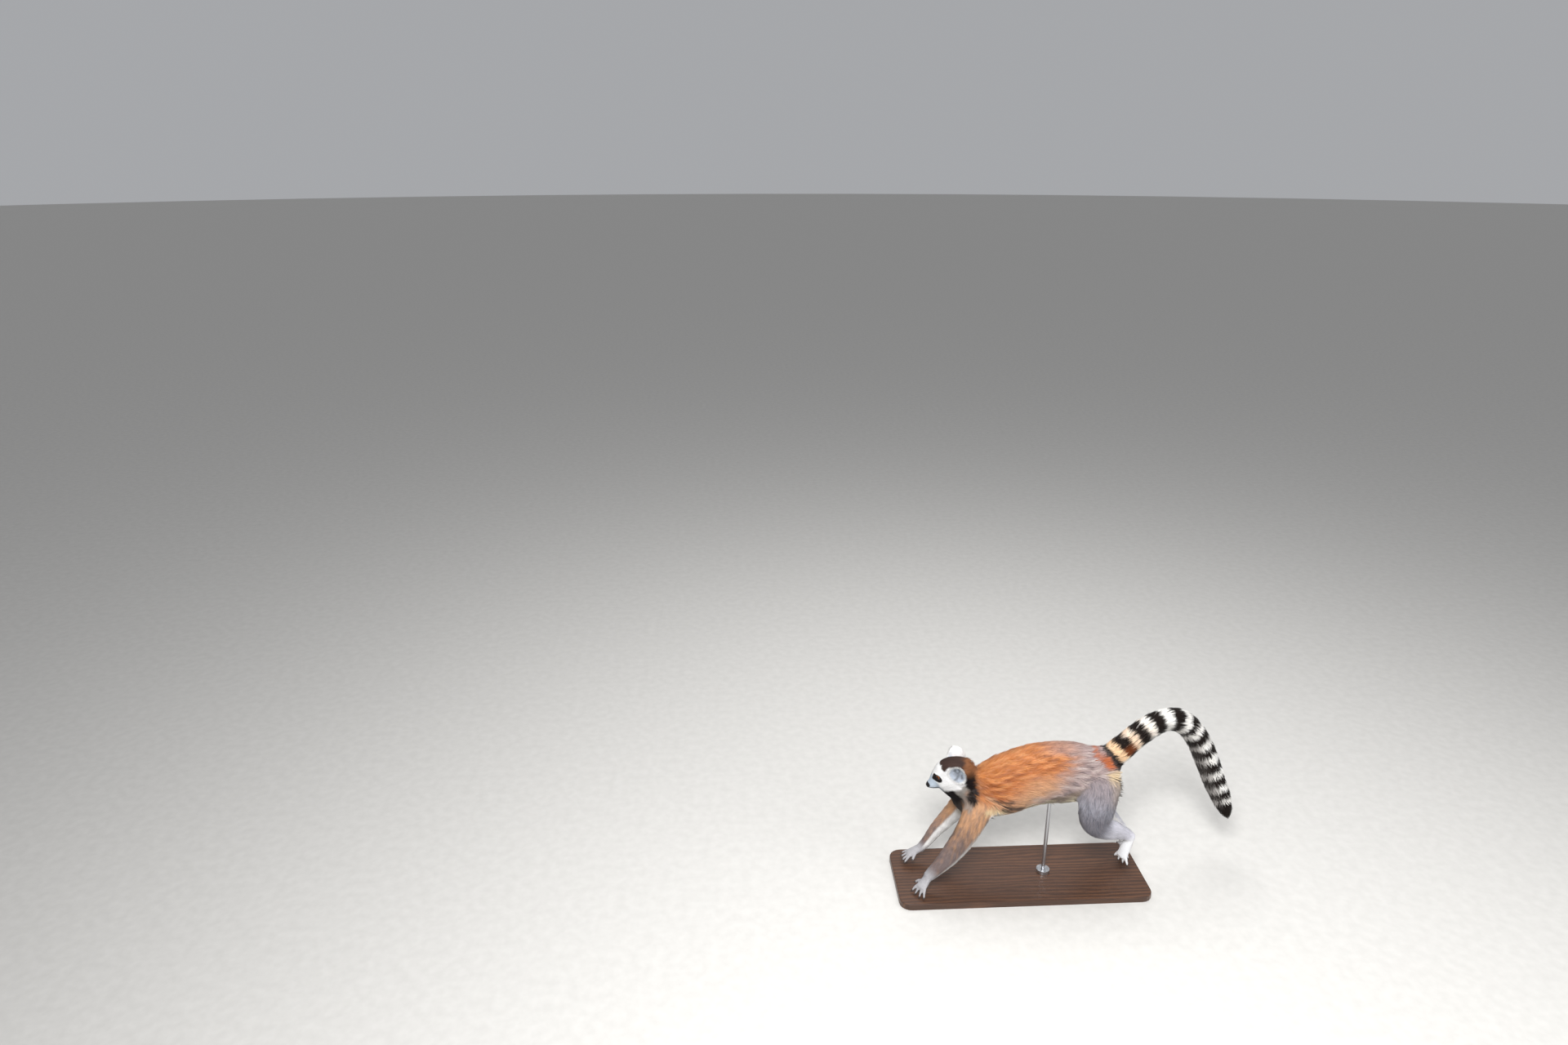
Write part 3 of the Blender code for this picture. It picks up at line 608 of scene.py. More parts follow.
def trunk_marks(places):
    x, _, z = from_ground(places)
    up = on_line(places, TRUNK)[3][:, 2]
    streak = ripple(places * (0.22, 1, 1), 0.006, 1)
    patch = ripple(places * (0.6, 1, 1), 0.035, 2)
    colour = mix(RUFOUS, RUFOUS_DEEP, 0.22 + 0.22 * patch + 0.38 * streak)
    # The top of the back is a little paler, a painted highlight; the pale streaks are the coat's own.
    colour = mix(colour, RUFOUS_PALE, rise(up, 0.55, 1.0) * 0.12 + 0.35 * rise(-streak, 0.1, 1.2))
    colour = mix(colour, NAPE, rise(-x, 0.085, 0.135) * rise(up, -0.5, 0.5) * 0.85)
    colour = mix(colour, BUFF, rise(-up, -0.15, 0.55) * 0.65)
    edge = np.interp(z, (0.242, 0.265, 0.291, 0.314, 0.329, 0.342, 0.356, 0.364),
                     (0.030, 0.052, 0.070, 0.090, 0.112, 0.126, 0.112, 0.092))
    colour = mix(colour, BUFF, rise(x - edge, -0.110, -0.030) * rise(-z, -0.325, -0.285) * 0.75)
    rump = rise(x - edge + 0.007 * patch + 0.004 * streak, -0.042, 0.036)
    colour = mix(colour, mix(LAVENDER, PALE, 0.25 + 0.3 * streak), rump)
    colour = mix(colour, THIGH_DARK, rump * rise(-streak, 0.4, 1.2) * 0.4)
    # A thin pale line along the top of the back is a painted highlight.
    colour = mix(colour, LAVENDER, rise(up, 0.86, 0.97) * rise(x, 0.02, 0.08) * 0.55)
    colour = mix(colour, CREAM, rise(x, 0.184, 0.200) * rise(-z, -0.318, -0.296) * 0.85)
    colour = mix(colour, BELLY, rise(-up + 0.1 * streak, 0.66, 0.9))
    # Painted shade in the fold between the belly and the thigh.
    groin = from_points(x, z, (0.060, 0.238), (0.098, 0.245), (0.134, 0.266)) + 0.002 * streak
    colour = mix(colour, GROIN_SHADE, rise(-groin, -0.014, -0.003) * 0.65)
    colour = armpit_on(colour, places)
    red = from_points(x, z, (0.174, 0.3425), (0.198, 0.3260)) + 0.0015 * streak
    flame = mix(TAIL_RED, TAIL_BLACK, rise(ripple(places * (0.5, 1, 0.5), 0.005, 13), 0.5, 1.4) * 0.5)
    colour = mix(colour, flame, rise(-red, -0.0170, -0.0080) * 0.85)
    # the root of the tail, as far as the trunk holds it
    past = places - SMOOTH[TAIL][0][0]
    root = rise(past @ SMOOTH[TAIL][2][0], 0.006, 0.014)
    root *= rise(-np.linalg.norm(np.cross(past, SMOOTH[TAIL][2][2]), axis=1), -0.043, -0.038)
    return collar_on(mix(colour, tail_marks(places), root), places)


# Where the tail's rings end, in metres from its root: red root, black, cream, black and so on.
RINGS = [0.027, 0.047, 0.065, 0.093, 0.111, 0.140, 0.161, 0.192, 0.216, 0.247, 0.267, 0.292, 0.310, 0.337,
         0.357, 0.385, 0.404, 0.431, 0.448, 0.473, 0.488, 0.509, 0.522]


def tail_marks(places):
    length, _, _, out, _ = on_line(places, TAIL)
    up = out[:, 2]
    uneven = 0.0008 * ripple(places, 0.006, 11) + 0.005 * (up - 0.4) * rise(-length, -0.14, -0.05)
    ring = np.searchsorted(RINGS, length + uneven)
    black = ring % 2 == 1
    colour = np.where(black[:, None], TAIL_BLACK, TAIL_WHITE)
    early = rise(-length, -0.20, -0.05)
    side = rise(up, -0.60, -0.10) * rise(-up, -0.98, -0.80)
    colour = mix(colour, TAIL_CREAM, ~black * early * side * 0.85)
    colour = mix(colour, TAIL_RED, (ring == 3) * rise(-np.abs(up - 0.1), -0.55, -0.10) * 0.35)
    # On the tail's inner side the rings are greyed by painted shade.
    inner = -out[:, 0]
    colour = mix(colour, PAINTED_SHADE_WHITE, ~black * rise(inner, -0.1, 0.6) * rise(length, 0.26, 0.34) * 0.75)
    colour = mix(colour, PAINTED_SHADE_BLACK, black * rise(inner, 0.0, 0.8) * rise(length, 0.30, 0.40) * 0.5)
    streak = ripple(places, 0.005, 12)
    root = mix(TAIL_RED, TAIL_BLACK, rise(streak, 0.5, 1.4) * 0.5)
    root = mix(root, LAVENDER, rise(up, 0.55, 0.95))
    root = mix(root, TAIL_WHITE, rise(-up, 0.35, 0.75))
    colour = np.where((ring == 0)[:, None], root, colour)
    return mix(colour, TAIL_BLACK, rise(length, 0.528, 0.535))


def arm_marks(places, group):
    side = -1 if group == LEFT_ARM else 1
    _, share, _, out, _ = on_line(places, group)
    ahead = out @ np.array((-0.8, 0, 0.6))
    inward = -out[:, 1] * side
    streak = ripple(places * (1, 1, 0.3), 0.005, 21)
    colour = mix(ARM_BUFF, ARM_BROWN, rise(share, 0.10, 0.55) + 0.2 * streak)
    front = rise(ahead, 0.2, 0.9) * rise(-share, -0.75, -0.5)
    colour = mix(colour, ARM_BUFF, front * (0.20 if group == LEFT_ARM else 0.90))
    colour = mix(colour, ARM_GREY, rise(share, 0.25, 0.60) * 0.6 + 0.12 * streak)
    low, high = (0.25, 0.70) if group == LEFT_ARM else (0.0, 0.40)
    behind = rise(-ahead, 0.45, 0.85) * rise(share, 0.2, 0.5) * 0.8
    pale = np.maximum(rise(0.75 * inward - 0.9 * ahead, low, high), behind)
    colour = mix(colour, ARM_BROWN, rise(streak, 0.3, 1.2) * rise(share, 0.25, 0.45) * 0.35)
    colour = mix(colour, WHITE, pale)
    colour = mix(colour, HAND, rise(share, 0.70, 0.80))
    under = out @ np.array((0.49, 0.36, -0.79) if group == LEFT_ARM else (0.47, 0, -0.88))
    colour = mix(colour, SOLE, rise(under, 0.45, 0.75) * rise(share, 0.80, 0.84))
    return collar_on(armpit_on(colour, places), places)


def leg_marks(places, group):
    side = -1 if group == LEFT_LEG else 1
    _, share, _, out, _ = on_line(places, group)
    inward = -out[:, 1] * side
    streak = ripple(places * (0.5, 1, 0.6), 0.006, 31)
    colour = mix(THIGH, LAVENDER, rise(-share, -0.3, -0.1) * 0.5)
    colour = mix(colour, THIGH_DARK, rise(streak, 0.1, 1.2) * 0.5)
    # Painted shade in the bend between thigh and shank, at the knee.
    colour = mix(colour, THIGH_DARK, rise(-np.abs(share - 0.40), -0.14, -0.02) * 0.85)
    colour = mix(colour, SHANK, rise(share, 0.44, 0.56) * 0.95)
    behind = rise(out[:, 0], 0.4, 0.9) * rise(-share, -0.3, -0.1)
    colour = mix(colour, CREAM, behind * 0.2)
    colour = mix(colour, WHITE, rise(inward, 0.45, 0.85) * 0.8)
    colour = mix(colour, FOOT, rise(share, 0.70, 0.78))
    heel, toes = (np.array(LINES[group][number][:3]) for number in (7, 8))
    foot = unit(toes - heel)
    sole = np.array((0.80, 0.56, -0.18) if group == LEFT_LEG else (0.99, 0, 0.10))
    sole = unit(sole - foot * (sole @ foot))
    under = out @ sole * rise(share, 0.76, 0.80)
    colour = mix(colour, HEEL, rise(under, 0.05, 0.4) * rise(-share, -0.84, -0.78))
    return mix(colour, SOLE, rise(under, 0.30, 0.62) * rise(share, 0.77, 0.82))


EYE = np.array((0.0355, 0.0190, 0.0108))  # the front of the eye, in the head's frame


def above_mouth(x, z):
    """How far a place in the head's frame is above the line where the lips meet."""
    return z + 0.0118 + 0.24 * x


def head_marks(places):
    x, y, z = to_head(places).T
    y = np.abs(y)
    uneven = ripple(places, 0.006, 41)
    colour = mix(FACE, EAR_PALE, rise(-z, 0.012, 0.034) * 0.30 + 0.06 * uneven)
    cheek = np.interp(x, (0.045, 0.055, 0.066, 0.077, 0.086, 0.092),
                      (-0.034, -0.0355, -0.0350, -0.0290, -0.0255, -0.0200))
    colour = mix(colour, STREAK, rise(cheek - z + 0.0012 * uneven, -0.0020, 0.0050))
    # the dark crown comes down to a point before each ear, and runs back into the brown nape
    front = 0.0550 + 0.9 * np.clip(0.026 - z, 0, 0.01) + 0.0010 * uneven
    low = np.interp(x, (0.050, 0.058, 0.064, 0.072, 0.084, 0.092, 0.098, 0.103),
                    (0.0300, 0.0215, 0.0220, 0.0245, 0.0200, 0.0050, -0.0180, -0.0400)) + 0.0010 * uneven
    cap = rise(x - front, -0.0018, 0.0018) * rise(z - low, -0.0022, 0.0022)
    dark = mix(CROWN, NAPE, rise(x + 0.001 * uneven, 0.101, 0.116))
    dark = mix(dark, RUFOUS_DEEP, rise(x + 0.002 * uneven, 0.114, 0.130) * rise(z, -0.03, 0.0) * 0.6)
    colour = mix(colour, dark, cap)
    # muzzle, lips and nose
    colour = mix(colour, MUZZLE, rise(-x - 0.25 * z, -0.033, -0.024))
    colour = mix(colour, NOSE, rise(-np.hypot(x - 0.001, z + 0.003), -0.0085, -0.0060))
    lips = np.abs(above_mouth(x, z))
    colour = mix(colour, PATCH, rise(-lips, -0.0024, -0.0011) * rise(-x, -0.031, -0.025) * 0.9)
    colour = mix(colour, THROAT, rise(-z, 0.0135, 0.017) * rise(-x, -0.018, -0.010) * 0.6)
    colour = mix(colour, PATCH, rise(-(z + 0.0125 + 0.24 * x), 0.0, 0.0025) * rise(-x, -0.031, -0.024) * 0.45)
    # the patch round the eye runs a little down and forward
    away = np.stack([x, y, z], 1) - EYE - (-0.0012, -0.0005, -0.0005)
    reach = np.linalg.norm(away, axis=1)
    smear = from_points(x, z, (0.0300, 0.0125), (0.0355, 0.0080)) + 0.0004 + 0.012 * rise(-y, -0.010, -0.004)
    reach = np.minimum(reach, np.where(np.abs(away[:, 1]) < 0.016, smear, 1.0))
    colour = mix(colour, PATCH, rise(-(reach + 0.0008 * uneven), -0.0096, -0.0076))
    return collar_on(colour, places)


def ear_marks(places, group):
    side = -1 if group == LEFT_EAR else 1
    along, across, before = in_ear(places, side)
    radius = np.hypot(along + 0.08, across)
    front = rise(before - 0.008 * (along**2 + across**2 - 0.5), 0.0, 0.0006)
    colour = mix(WHITE, EAR_PALE, (1 - front) * 0.35)
    hollow = rise(-radius, -0.90, -0.74) * front
    colour = mix(colour, EAR_BLUE, hollow)
    # The hollow darkens towards its deep middle and along its creases: painted shade.
    uneven = 0.10 * ripple(places, 0.004, 51)
    creases = np.minimum(from_points(across, along, (0.02, -0.70), (-0.10, -0.15), (0.06, 0.46)),
                         from_points(across, along, (-0.44, -0.12), (0.02, -0.02), (0.42, 0.20)))
    deep = rise(-np.hypot(across, along + 0.12), -0.66, -0.10) * 0.50
    return mix(colour, EAR_DARK, hollow * np.maximum(deep, 0.62 * rise(-(creases + uneven), -0.36, 0.02)))


def marks(places, group):
    """The coat's colour at each place, for a place of that group."""
    if group in (TRUNK, TAIL, HEAD):
        return {TRUNK: trunk_marks, TAIL: tail_marks, HEAD: head_marks}[group](places)
    paired = {LEFT_ARM: arm_marks, RIGHT_ARM: arm_marks, LEFT_LEG: leg_marks, RIGHT_LEG: leg_marks}
    return paired.get(group, ear_marks)(places, group)


def add_colours(mesh, name, colours):
    made = mesh.color_attributes.new(name, "FLOAT_COLOR", "POINT")
    rows = np.column_stack([colours, np.ones(len(colours))]).astype(np.float32)
    made.data.foreach_set("color", rows.ravel())


def hair_streaks():
    """A group that draws single hairs along a lock: streaks of colour and a height for the bump."""
    group = bpy.data.node_groups.new("hair_streaks", "ShaderNodeTree")
    for name, way, kind in (
        ("Colour", "INPUT", "Color"),
        ("Vector", "INPUT", "Vector"),
        ("Contrast", "INPUT", "Float"),
        ("Colour", "OUTPUT", "Color"),
        ("Height", "OUTPUT", "Float"),
    ):
        group.interface.new_socket(name, in_out=way, socket_type=f"NodeSocket{kind}")
    start, end = group.nodes.new("NodeGroupInput"), group.nodes.new("NodeGroupOutput")
    hairs = noise(group, start.outputs["Vector"], 1.0, 3.0, 0.65)
    shade = node(group, "ShaderNodeMapRange", {0: hairs, 1: 0.28, 2: 0.72, 3: -1.0, 4: 1.0}).outputs[0]
    links = {0: shade, 1: start.outputs["Contrast"], 2: 1.0}
    swing = node(group, "ShaderNodeMath", links, operation="MULTIPLY_ADD")
    lit = node(group, "ShaderNodeVectorMath", {0: start.outputs["Colour"]}, operation="SCALE")
    group.links.new(swing.outputs[0], lit.inputs["Scale"])
    group.links.new(lit.outputs[0], end.inputs["Colour"])
    group.links.new(hairs, end.inputs["Height"])
    return group


STREAKS = hair_streaks()


def fur_finish(name, roughness, contrast, coordinates, scale, distance, sheen=0.05):
    """Fur: the markings from the piece's own colours, with hairs drawn over them."""
    finish, tree, shader = new_finish(name, roughness)
    colour = node(tree, "ShaderNodeVertexColor", layer_name="coat").outputs["Color"]
    if coordinates == "Object":
        vector = on_object(tree)
    else:
        vector = node(tree, "ShaderNodeUVMap", uv_map=coordinates).outputs["UV"]
    links = {"Colour": colour, "Vector": stretched(tree, vector, scale), "Contrast": contrast}
    drawn = node(tree, "ShaderNodeGroup", links, node_tree=STREAKS)
    tree.links.new(drawn.outputs["Colour"], shader.inputs["Base Color"])
    relief(tree, shader, drawn.outputs["Height"], 0.5, distance)
    shader.inputs["Specular IOR Level"].default_value = 0.09
    shader.inputs["Sheen Weight"].default_value = sheen
    shader.inputs["Sheen Roughness"].default_value = 0.5
    return finish


# ---------------------------------------------------------------- the face's flesh
# The hide of the face is thin and lies close on the skull. It is drawn over the eyeballs and opened for
# them, worked into brows, whisker pads, chin and mouth, and then coloured with the rest of the skin.

EYE_BOX = {side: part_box(f"{name}_eye") for name, side in (("left", -1), ("right", 1))}
EYE_MIDDLE = {side: (low + high) / 2 for side, (low, high) in EYE_BOX.items()}
EYE_RADIUS = 0.0065
GAZE = (-0.62, 0.74, 0.24)


def eye_axes(side):
    """The eye's gaze, the way across it to its outer corner, and its way up."""
    gaze = unit(in_head(GAZE, side)[0] - NOSE_TIP)
    upright = unit(HEAD_AXES[:, 2] - gaze * (HEAD_AXES[:, 2] @ gaze))
    outer = np.cross(upright, gaze) * -side
    return gaze, outer, upright


def opening(turn):
    """Half the angle that the lids leave open, at each turn round the gaze from the outer corner."""
    return np.radians(48 + 3.0 * np.cos(2 * turn) + 5.0 * np.clip(-np.cos(turn), 0, 1) ** 6)


def from_eye(places, side):
    """The way to each place from the eye's middle, its angle off the gaze, and the lids' opening there."""
    gaze, outer, upright = eye_axes(side)
    away = places - np.array(EYE_MIDDLE[side])
    angle = np.arccos(np.clip(unit(away) @ gaze, -1, 1))
    return away, angle, opening(np.arctan2(away @ upright, away @ outer))


def worked(places):
    """The head's places, pressed and raised into the face."""
    local = to_head(places)
    x, y, z = local.T
    a = np.abs(y)
    local = local.copy()

    def swell(middle, radius, amount, way):
        reach = np.linalg.norm(np.stack([x, a, z], 1) - middle, axis=1) / radius
        push = np.exp(-reach**2 * 2.2)[:, None] * amount * np.array(way)
        push[:, 1] *= np.sign(y)
        local[:] += push

    swell((0.046, 0.018, 0.0215), 0.010, 0.0012, (0.1, 0.5, 0.8))  # brow
    swell((0.030, 0.000, 0.0150), 0.009, 0.0010, (0.0, 0.0, -1.0))  # dip of the bridge
    swell((0.012, 0.0100, -0.0065), 0.008, 0.0012, (0.0, 1.0, 0.1))  # whisker pad
    swell((0.038, 0.024, -0.007), 0.010, 0.0012, (0.0, 0.8, -0.2))  # cheekbone
    swell((0.024, 0.000, -0.0220), 0.014, 0.0022, (0.0, 0.0, -1.0))  # chin
    mouth = np.abs(above_mouth(x, z)) / 0.0015
    cut = np.clip(1 - mouth**2, 0, 1) * rise(-x, -0.030, -0.022) * rise(x, -0.004, 0.000)
    middle = np.stack([np.zeros(len(x)), a * 0.9, (z + 0.007) * 0.2], 1)
    push = unit(middle) * (cut * 0.0011)[:, None]
    push[:, 1] *= np.sign(y)
    local -= push
    shaped = NOSE_TIP + local @ HEAD_AXES.T
    lid = EYE_RADIUS + 0.0008
    for side in (-1, 1):
        away, angle, open_angle = from_eye(shaped, side)
        reach = np.linalg.norm(away, axis=1)
        drape = (reach < lid + 0.0026) & (angle < open_angle + 0.75)
        inside = rise(open_angle - angle, -0.03, 0.10)
        wanted = np.maximum(reach, lid) * (1 - inside) + (EYE_RADIUS - 0.0016) * inside
        near = rise(-(angle - open_angle), -0.75, -0.35)
        wanted = reach + (wanted - reach) * np.maximum(near, inside)
        shaped = np.where(drape[:, None], np.array(EYE_MIDDLE[side]) + unit(away) * wanted[:, None], shaped)
    return shaped


co, _, edges = read(skin.data)
local = to_head(co)
mine = (local[:, 0] < 0.062) & (np.abs(local[:, 2]) < 0.040) & (np.abs(local[:, 1]) < 0.040)
co[mine] = worked(co[mine])
write(skin.data, co)

UNDER_FUR = 0.86  # the hide is a little darker than the coat over it
skin_share = shares_at(co, owner_of(co), net_of(edges, len(co)), 12)
add_colours(skin.data, "coat", blended(marks, 3, co, skin_share) * UNDER_FUR)
skin.data.materials.clear()
skin.data.materials.append(fur_finish("short_fur", 0.75, 0.22, "Object", (900, 900, 900), 0.0005, 0.1))
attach(skin, "root")
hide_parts(*FLESH)


# ---------------------------------------------------------------- the coat
# Fine dense hair in thin tapering locks, set in the hide row on row and combed from the nose to the
# tips of the tail and toes. Long on the back and tail, it is a mere nap on the face, hands and feet.

draw = np.random.default_rng(7)
LONG_FROM = 0.0185  # a lock this long is given one ring more


def lock_form(cuts):
    """One lock, one long and one across, as corners and triangles: three-sided, full at a third, pointed."""
    shape = bmesh.new()
    bmesh.ops.create_cone(shape, cap_ends=True, segments=3, radius1=1, radius2=0.01, depth=1,
                          matrix=Matrix.Translation((0, 0, 0.5)) @ Matrix.Rotation(math.radians(30), 4, "Z"))
    bmesh.ops.remove_doubles(shape, verts=[v for v in shape.verts if v.co.z > 0.9], dist=0.1)
    for height in cuts:
        geometry = [*shape.verts, *shape.edges, *shape.faces]
        bmesh.ops.bisect_plane(shape, geom=geometry, dist=1e-6, plane_co=(0, 0, height), plane_no=(0, 0, 1))
    bmesh.ops.triangulate(shape, faces=shape.faces)
    for corner in shape.verts:
        x, y, z = corner.co
        if z < 0.99:
            fullness = 0.62 + 1.5 * z if z < 0.25 else 1.0 - 0.75 * z**2.2
            around = Vector((x, y, 0)).normalized() * 0.5 * fullness
            corner.co = (around.x, around.y * 0.6, z)
        else:
            corner.co = (0, 0, 1)
    bmesh.ops.recalc_face_normals(shape, faces=shape.faces)
    shape.verts.index_update()
    corners = np.array([corner.co for corner in shape.verts])
    triangles = np.array([[corner.index for corner in face.verts] for face in shape.faces])
    shape.free()
    return corners, triangles


LONG_LOCK, SHORT_LOCK = lock_form((0.30, 0.68)), lock_form((0.42,))


def lie_of(places, group):
    """The way the hair lies, before it is laid on the hide."""
    if group in LINES:
        _, share, tangent, out, _ = on_line(places, group)
        if group == TRUNK:
            droop = 0.42 * (1 - np.abs(out[:, 2:3])) * (1 - 0.5 * rise(share, 0.6, 0.9)[:, None])
            return tangent + droop * np.array((0, 0, -1)) * rise(share, 0.05, 0.25)[:, None]
        return tangent
    if group == HEAD:
        x, y, z = to_head(places).T
        way = np.stack([x + 0.012, y * 0.95, z * 0.9 - 0.004 * rise(np.abs(y), 0.010, 0.025)], 1)
        return unit(way) @ HEAD_AXES.T
    side = -1 if group == LEFT_EAR else 1
    middle, along, _, facing, half = ear_axes(side)
    way = places - (middle - along * half * 0.45)
    return unit(way - (way @ facing)[:, None] * facing) + 0.25 * along


co, normal, _ = read(hide)
hide_tree = BVHTree.FromPolygons(co.tolist(), seat_faces.tolist())
ways = blended(lie_of, 3, co, share_of)
ways = unit(relax(unit(ways - normal * (ways * normal).sum(1)[:, None]), net, 8))

quads = co[seat_faces]
crossing = np.cross(quads[:, 2] - quads[:, 0], quads[:, 3] - quads[:, 1])
areas = np.linalg.norm(crossing, axis=1) / 2
middle_of = quads.mean(1)
seat_share = share_of[seat_faces].mean(1)
seat_group = seat_share.argmax(1)
seat_depth = depth[seat_faces].mean(1)[:, 0]
seat_owner = owner[seat_faces[:, 0]]
local = to_head(middle_of)

# How many locks grow on a square metre of each group, and where it is more.
THICK = np.array([250e3, 245e3, 318e3, 318e3, 283e3, 283e3, 855e3, 1500e3, 1500e3])
face = (seat_group == HEAD) & (local[:, 0] < 0.050)
thick = THICK[seat_group]
for where, locks in ((np.isin(seat_owner, LOWER), 448e3), (np.isin(seat_owner, PAWS), 540e3), (face, 1290e3)):
    thick = np.where(where, locks, thick)
count = np.floor(areas * thick + draw.random(len(areas))).astype(int)

# Bare leather: the nose, the lids and eyes, palms and soles.
bare = np.hypot(local[:, 0] - 0.0005, local[:, 2] - 0.001) < 0.0050
bare &= np.abs(local[:, 1]) < 0.0052
for side in (-1, 1):
    away, angle, open_angle = from_eye(middle_of, side)
    bare |= (np.linalg.norm(away, axis=1) < EYE_RADIUS + 0.0032) & (angle < open_angle + 0.22)
shade = blended(marks, 3, middle_of, seat_share)
bare |= np.isin(seat_owner, PAWS) & (shade.sum(1) < 0.22)
count[bare] = 0
seat = np.repeat(np.arange(len(count)), count)
spot = draw.random((len(seat), 2, 1))
corner = quads[seat]
root = (corner[:, 0] * (1 - spot[:, 0]) + corner[:, 1] * spot[:, 0]) * (1 - spot[:, 1])
root += (corner[:, 3] * (1 - spot[:, 0]) + corner[:, 2] * spot[:, 0]) * spot[:, 1]
up = unit(normal[seat_faces[seat]].mean(1))
way = unit(ways[seat_faces[seat]].mean(1))
deep, kind, shares = seat_depth[seat], seat_group[seat], seat_share[seat]
ear = np.isin(kind, (LEFT_EAR, RIGHT_EAR))


def scatter(spread):
    return draw.normal(size=len(seat)) * spread


# Each lock leans off the lie of the coat a little, together with its neighbours. It is some times as
# long as the coat is deep there.
across = np.cross(up, way)
lean = 0.16 * ripple(root, 0.016, 61) + 0.10 * ripple(root, 0.006, 62) + scatter(0.09)
way = unit(way + across * lean[:, None])
DEPTHS_LONG = np.array([2.7, 2.5, 2.8, 2.8, 2.8, 2.8, 2.5, 1, 1])
length = deep * DEPTHS_LONG[kind] * np.exp(scatter(0.16))
length = np.maximum(length, 0.0019 + scatter(0.0002))
height = deep * np.clip(0.86 + 0.10 * ripple(root, 0.010, 63) + scatter(0.10), 0.45, 1.1)

# It is longest round the rim of the ears, and stands out in tufts behind the elbows.
rim = np.zeros(len(seat))
for group, side in ((LEFT_EAR, -1), (RIGHT_EAR, 1)):
    mine = kind == group
    along, sideways, _ = in_ear(root[mine], side)
    rim[mine] = rise(np.hypot(along * 1.12 + 0.1, sideways * 1.18), 0.62, 0.92)
length = np.where(ear, 0.0034 + 0.0036 * rim + np.abs(scatter(0.0008)), length)
height = np.where(ear, 0.0011 + 0.0010 * rim, height)
x, y, z = from_ground(root)
elbow = from_points(x, z, (-0.092, 0.255), (-0.060, 0.240), (-0.070, 0.212), (-0.040, 0.212))
tuft = rise(-elbow, -0.016, -0.006) * (rise(np.abs(y), 0.022, 0.036) * (kind == TRUNK))
length *= 1 + 0.22 * tuft
height *= 1 + 0.55 * tuft
broad = (0.00044 + 0.036 * length) * np.exp(scatter(0.18))

# Its tip lies that far along the hide and that high over it, unless the hide bends away too sharply.
run = np.sqrt(np.maximum(length**2 - height**2, (0.6 * length) ** 2))
tip = root + way * run[:, None]
found = [hide_tree.find_nearest(place)[:2] for place in tip.tolist()]
on_hide = np.array([place for place, _ in found])
off_hide = np.array([way_out for _, way_out in found])
turned = (off_hide * up).sum(1) < 0.2
astray = np.linalg.norm(on_hide - tip, axis=1) > 0.28 * length
free = (ear | turned | astray)[:, None]
tip = np.where(free, tip + up * height[:, None], on_hide + off_hide * height[:, None])

# Locks that start close together, within one cell of 3.5 mm in the nap or 6.5 mm elsewhere, run to one tip.
across_cell = np.where(length < 0.0085, 0.0035, 0.0065)
cell = np.floor(root / across_cell[:, None] + draw.random(3)).astype(int)
_, clump = np.unique(np.column_stack([cell, kind, (up > 0) @ (1, 2, 4)]), axis=0, return_inverse=True)
clump = clump.ravel()
members = np.bincount(clump)
shared = np.stack([np.bincount(clump, tip[:, i]) / members for i in range(3)], 1)[clump]
pull = np.where(ear, 0.1, 0.34 * draw.random(len(seat)))[:, None]
tip += (shared - tip) * pull

# None stands on end.
rearing = ((tip - root) * up).sum(1) > np.maximum(1.5 * height, 0.45 * length)
tip[rearing] = (root + way * (0.8 * run)[:, None] + up * (0.5 * height)[:, None])[rearing]

# Its colour is the coat's own where it ends, a little darker or paler than its neighbours.
shade = blended(marks, 3, root + (tip - root) * 0.55, shares)
glow = 1 + scatter(0.085) + 0.06 * ripple(root, 0.010, 64)
shade = shade * np.clip(glow, 0.7, 1.35)[:, None]
pale_tip = np.where(np.isin(kind, (TRUNK, LEFT_ARM, RIGHT_ARM, LEFT_LEG, RIGHT_LEG)), 0.10, 0.0)
pale_tip = np.where(draw.random(len(seat)) < 0.22, pale_tip * 2.5, pale_tip)


def map_place():
    """Each root's place on an unwrap of its own part of the hide: round it, and along it."""
    flat = np.zeros((len(seat), 2))
    for group in range(6):
        mine = kind == group
        _, share, tangent, out, _ = on_line(root[mine], group)
        side = unit(np.cross(tangent, (0, 0, 1.0) if group in (TRUNK, TAIL) else (0, 1.0, 0)))
        top = np.cross(side, tangent)
        round_it = np.arctan2((out * side).sum(1), (out * top).sum(1)) / (2 * math.pi) + 0.5
        strip, strips = (0, 1) if group in (TRUNK, TAIL) else (group - LEFT_ARM, 4)
        flat[mine] = np.stack([(strip + 0.02 + 0.96 * round_it) / strips, 0.01 + 0.98 * share], 1)
    mine = kind == HEAD
    x, y, z = to_head(root[mine]).T
    flat[mine] = np.stack([0.01 + 0.68 * (np.arctan2(y, z) / (2 * math.pi) + 0.5),
                           np.clip(0.02 + x / 0.118, 0.01, 0.99)], 1)
    for group, side in ((LEFT_EAR, -1), (RIGHT_EAR, 1)):
        mine = kind == group
        along, sideways, before = in_ear(root[mine], side)
        front = before > 0.008 * (along**2 + sideways**2 - 0.5)
        flat[mine] = np.stack([0.72 + 0.065 * (sideways + 1) + 0.14 * front,
                               0.03 + 0.22 * (along + 1) + 0.5 * (side > 0)], 1)
    return np.clip(flat, 0.004, 0.996)


flat = map_place()
phase = draw.random((len(seat), 2)) * 40


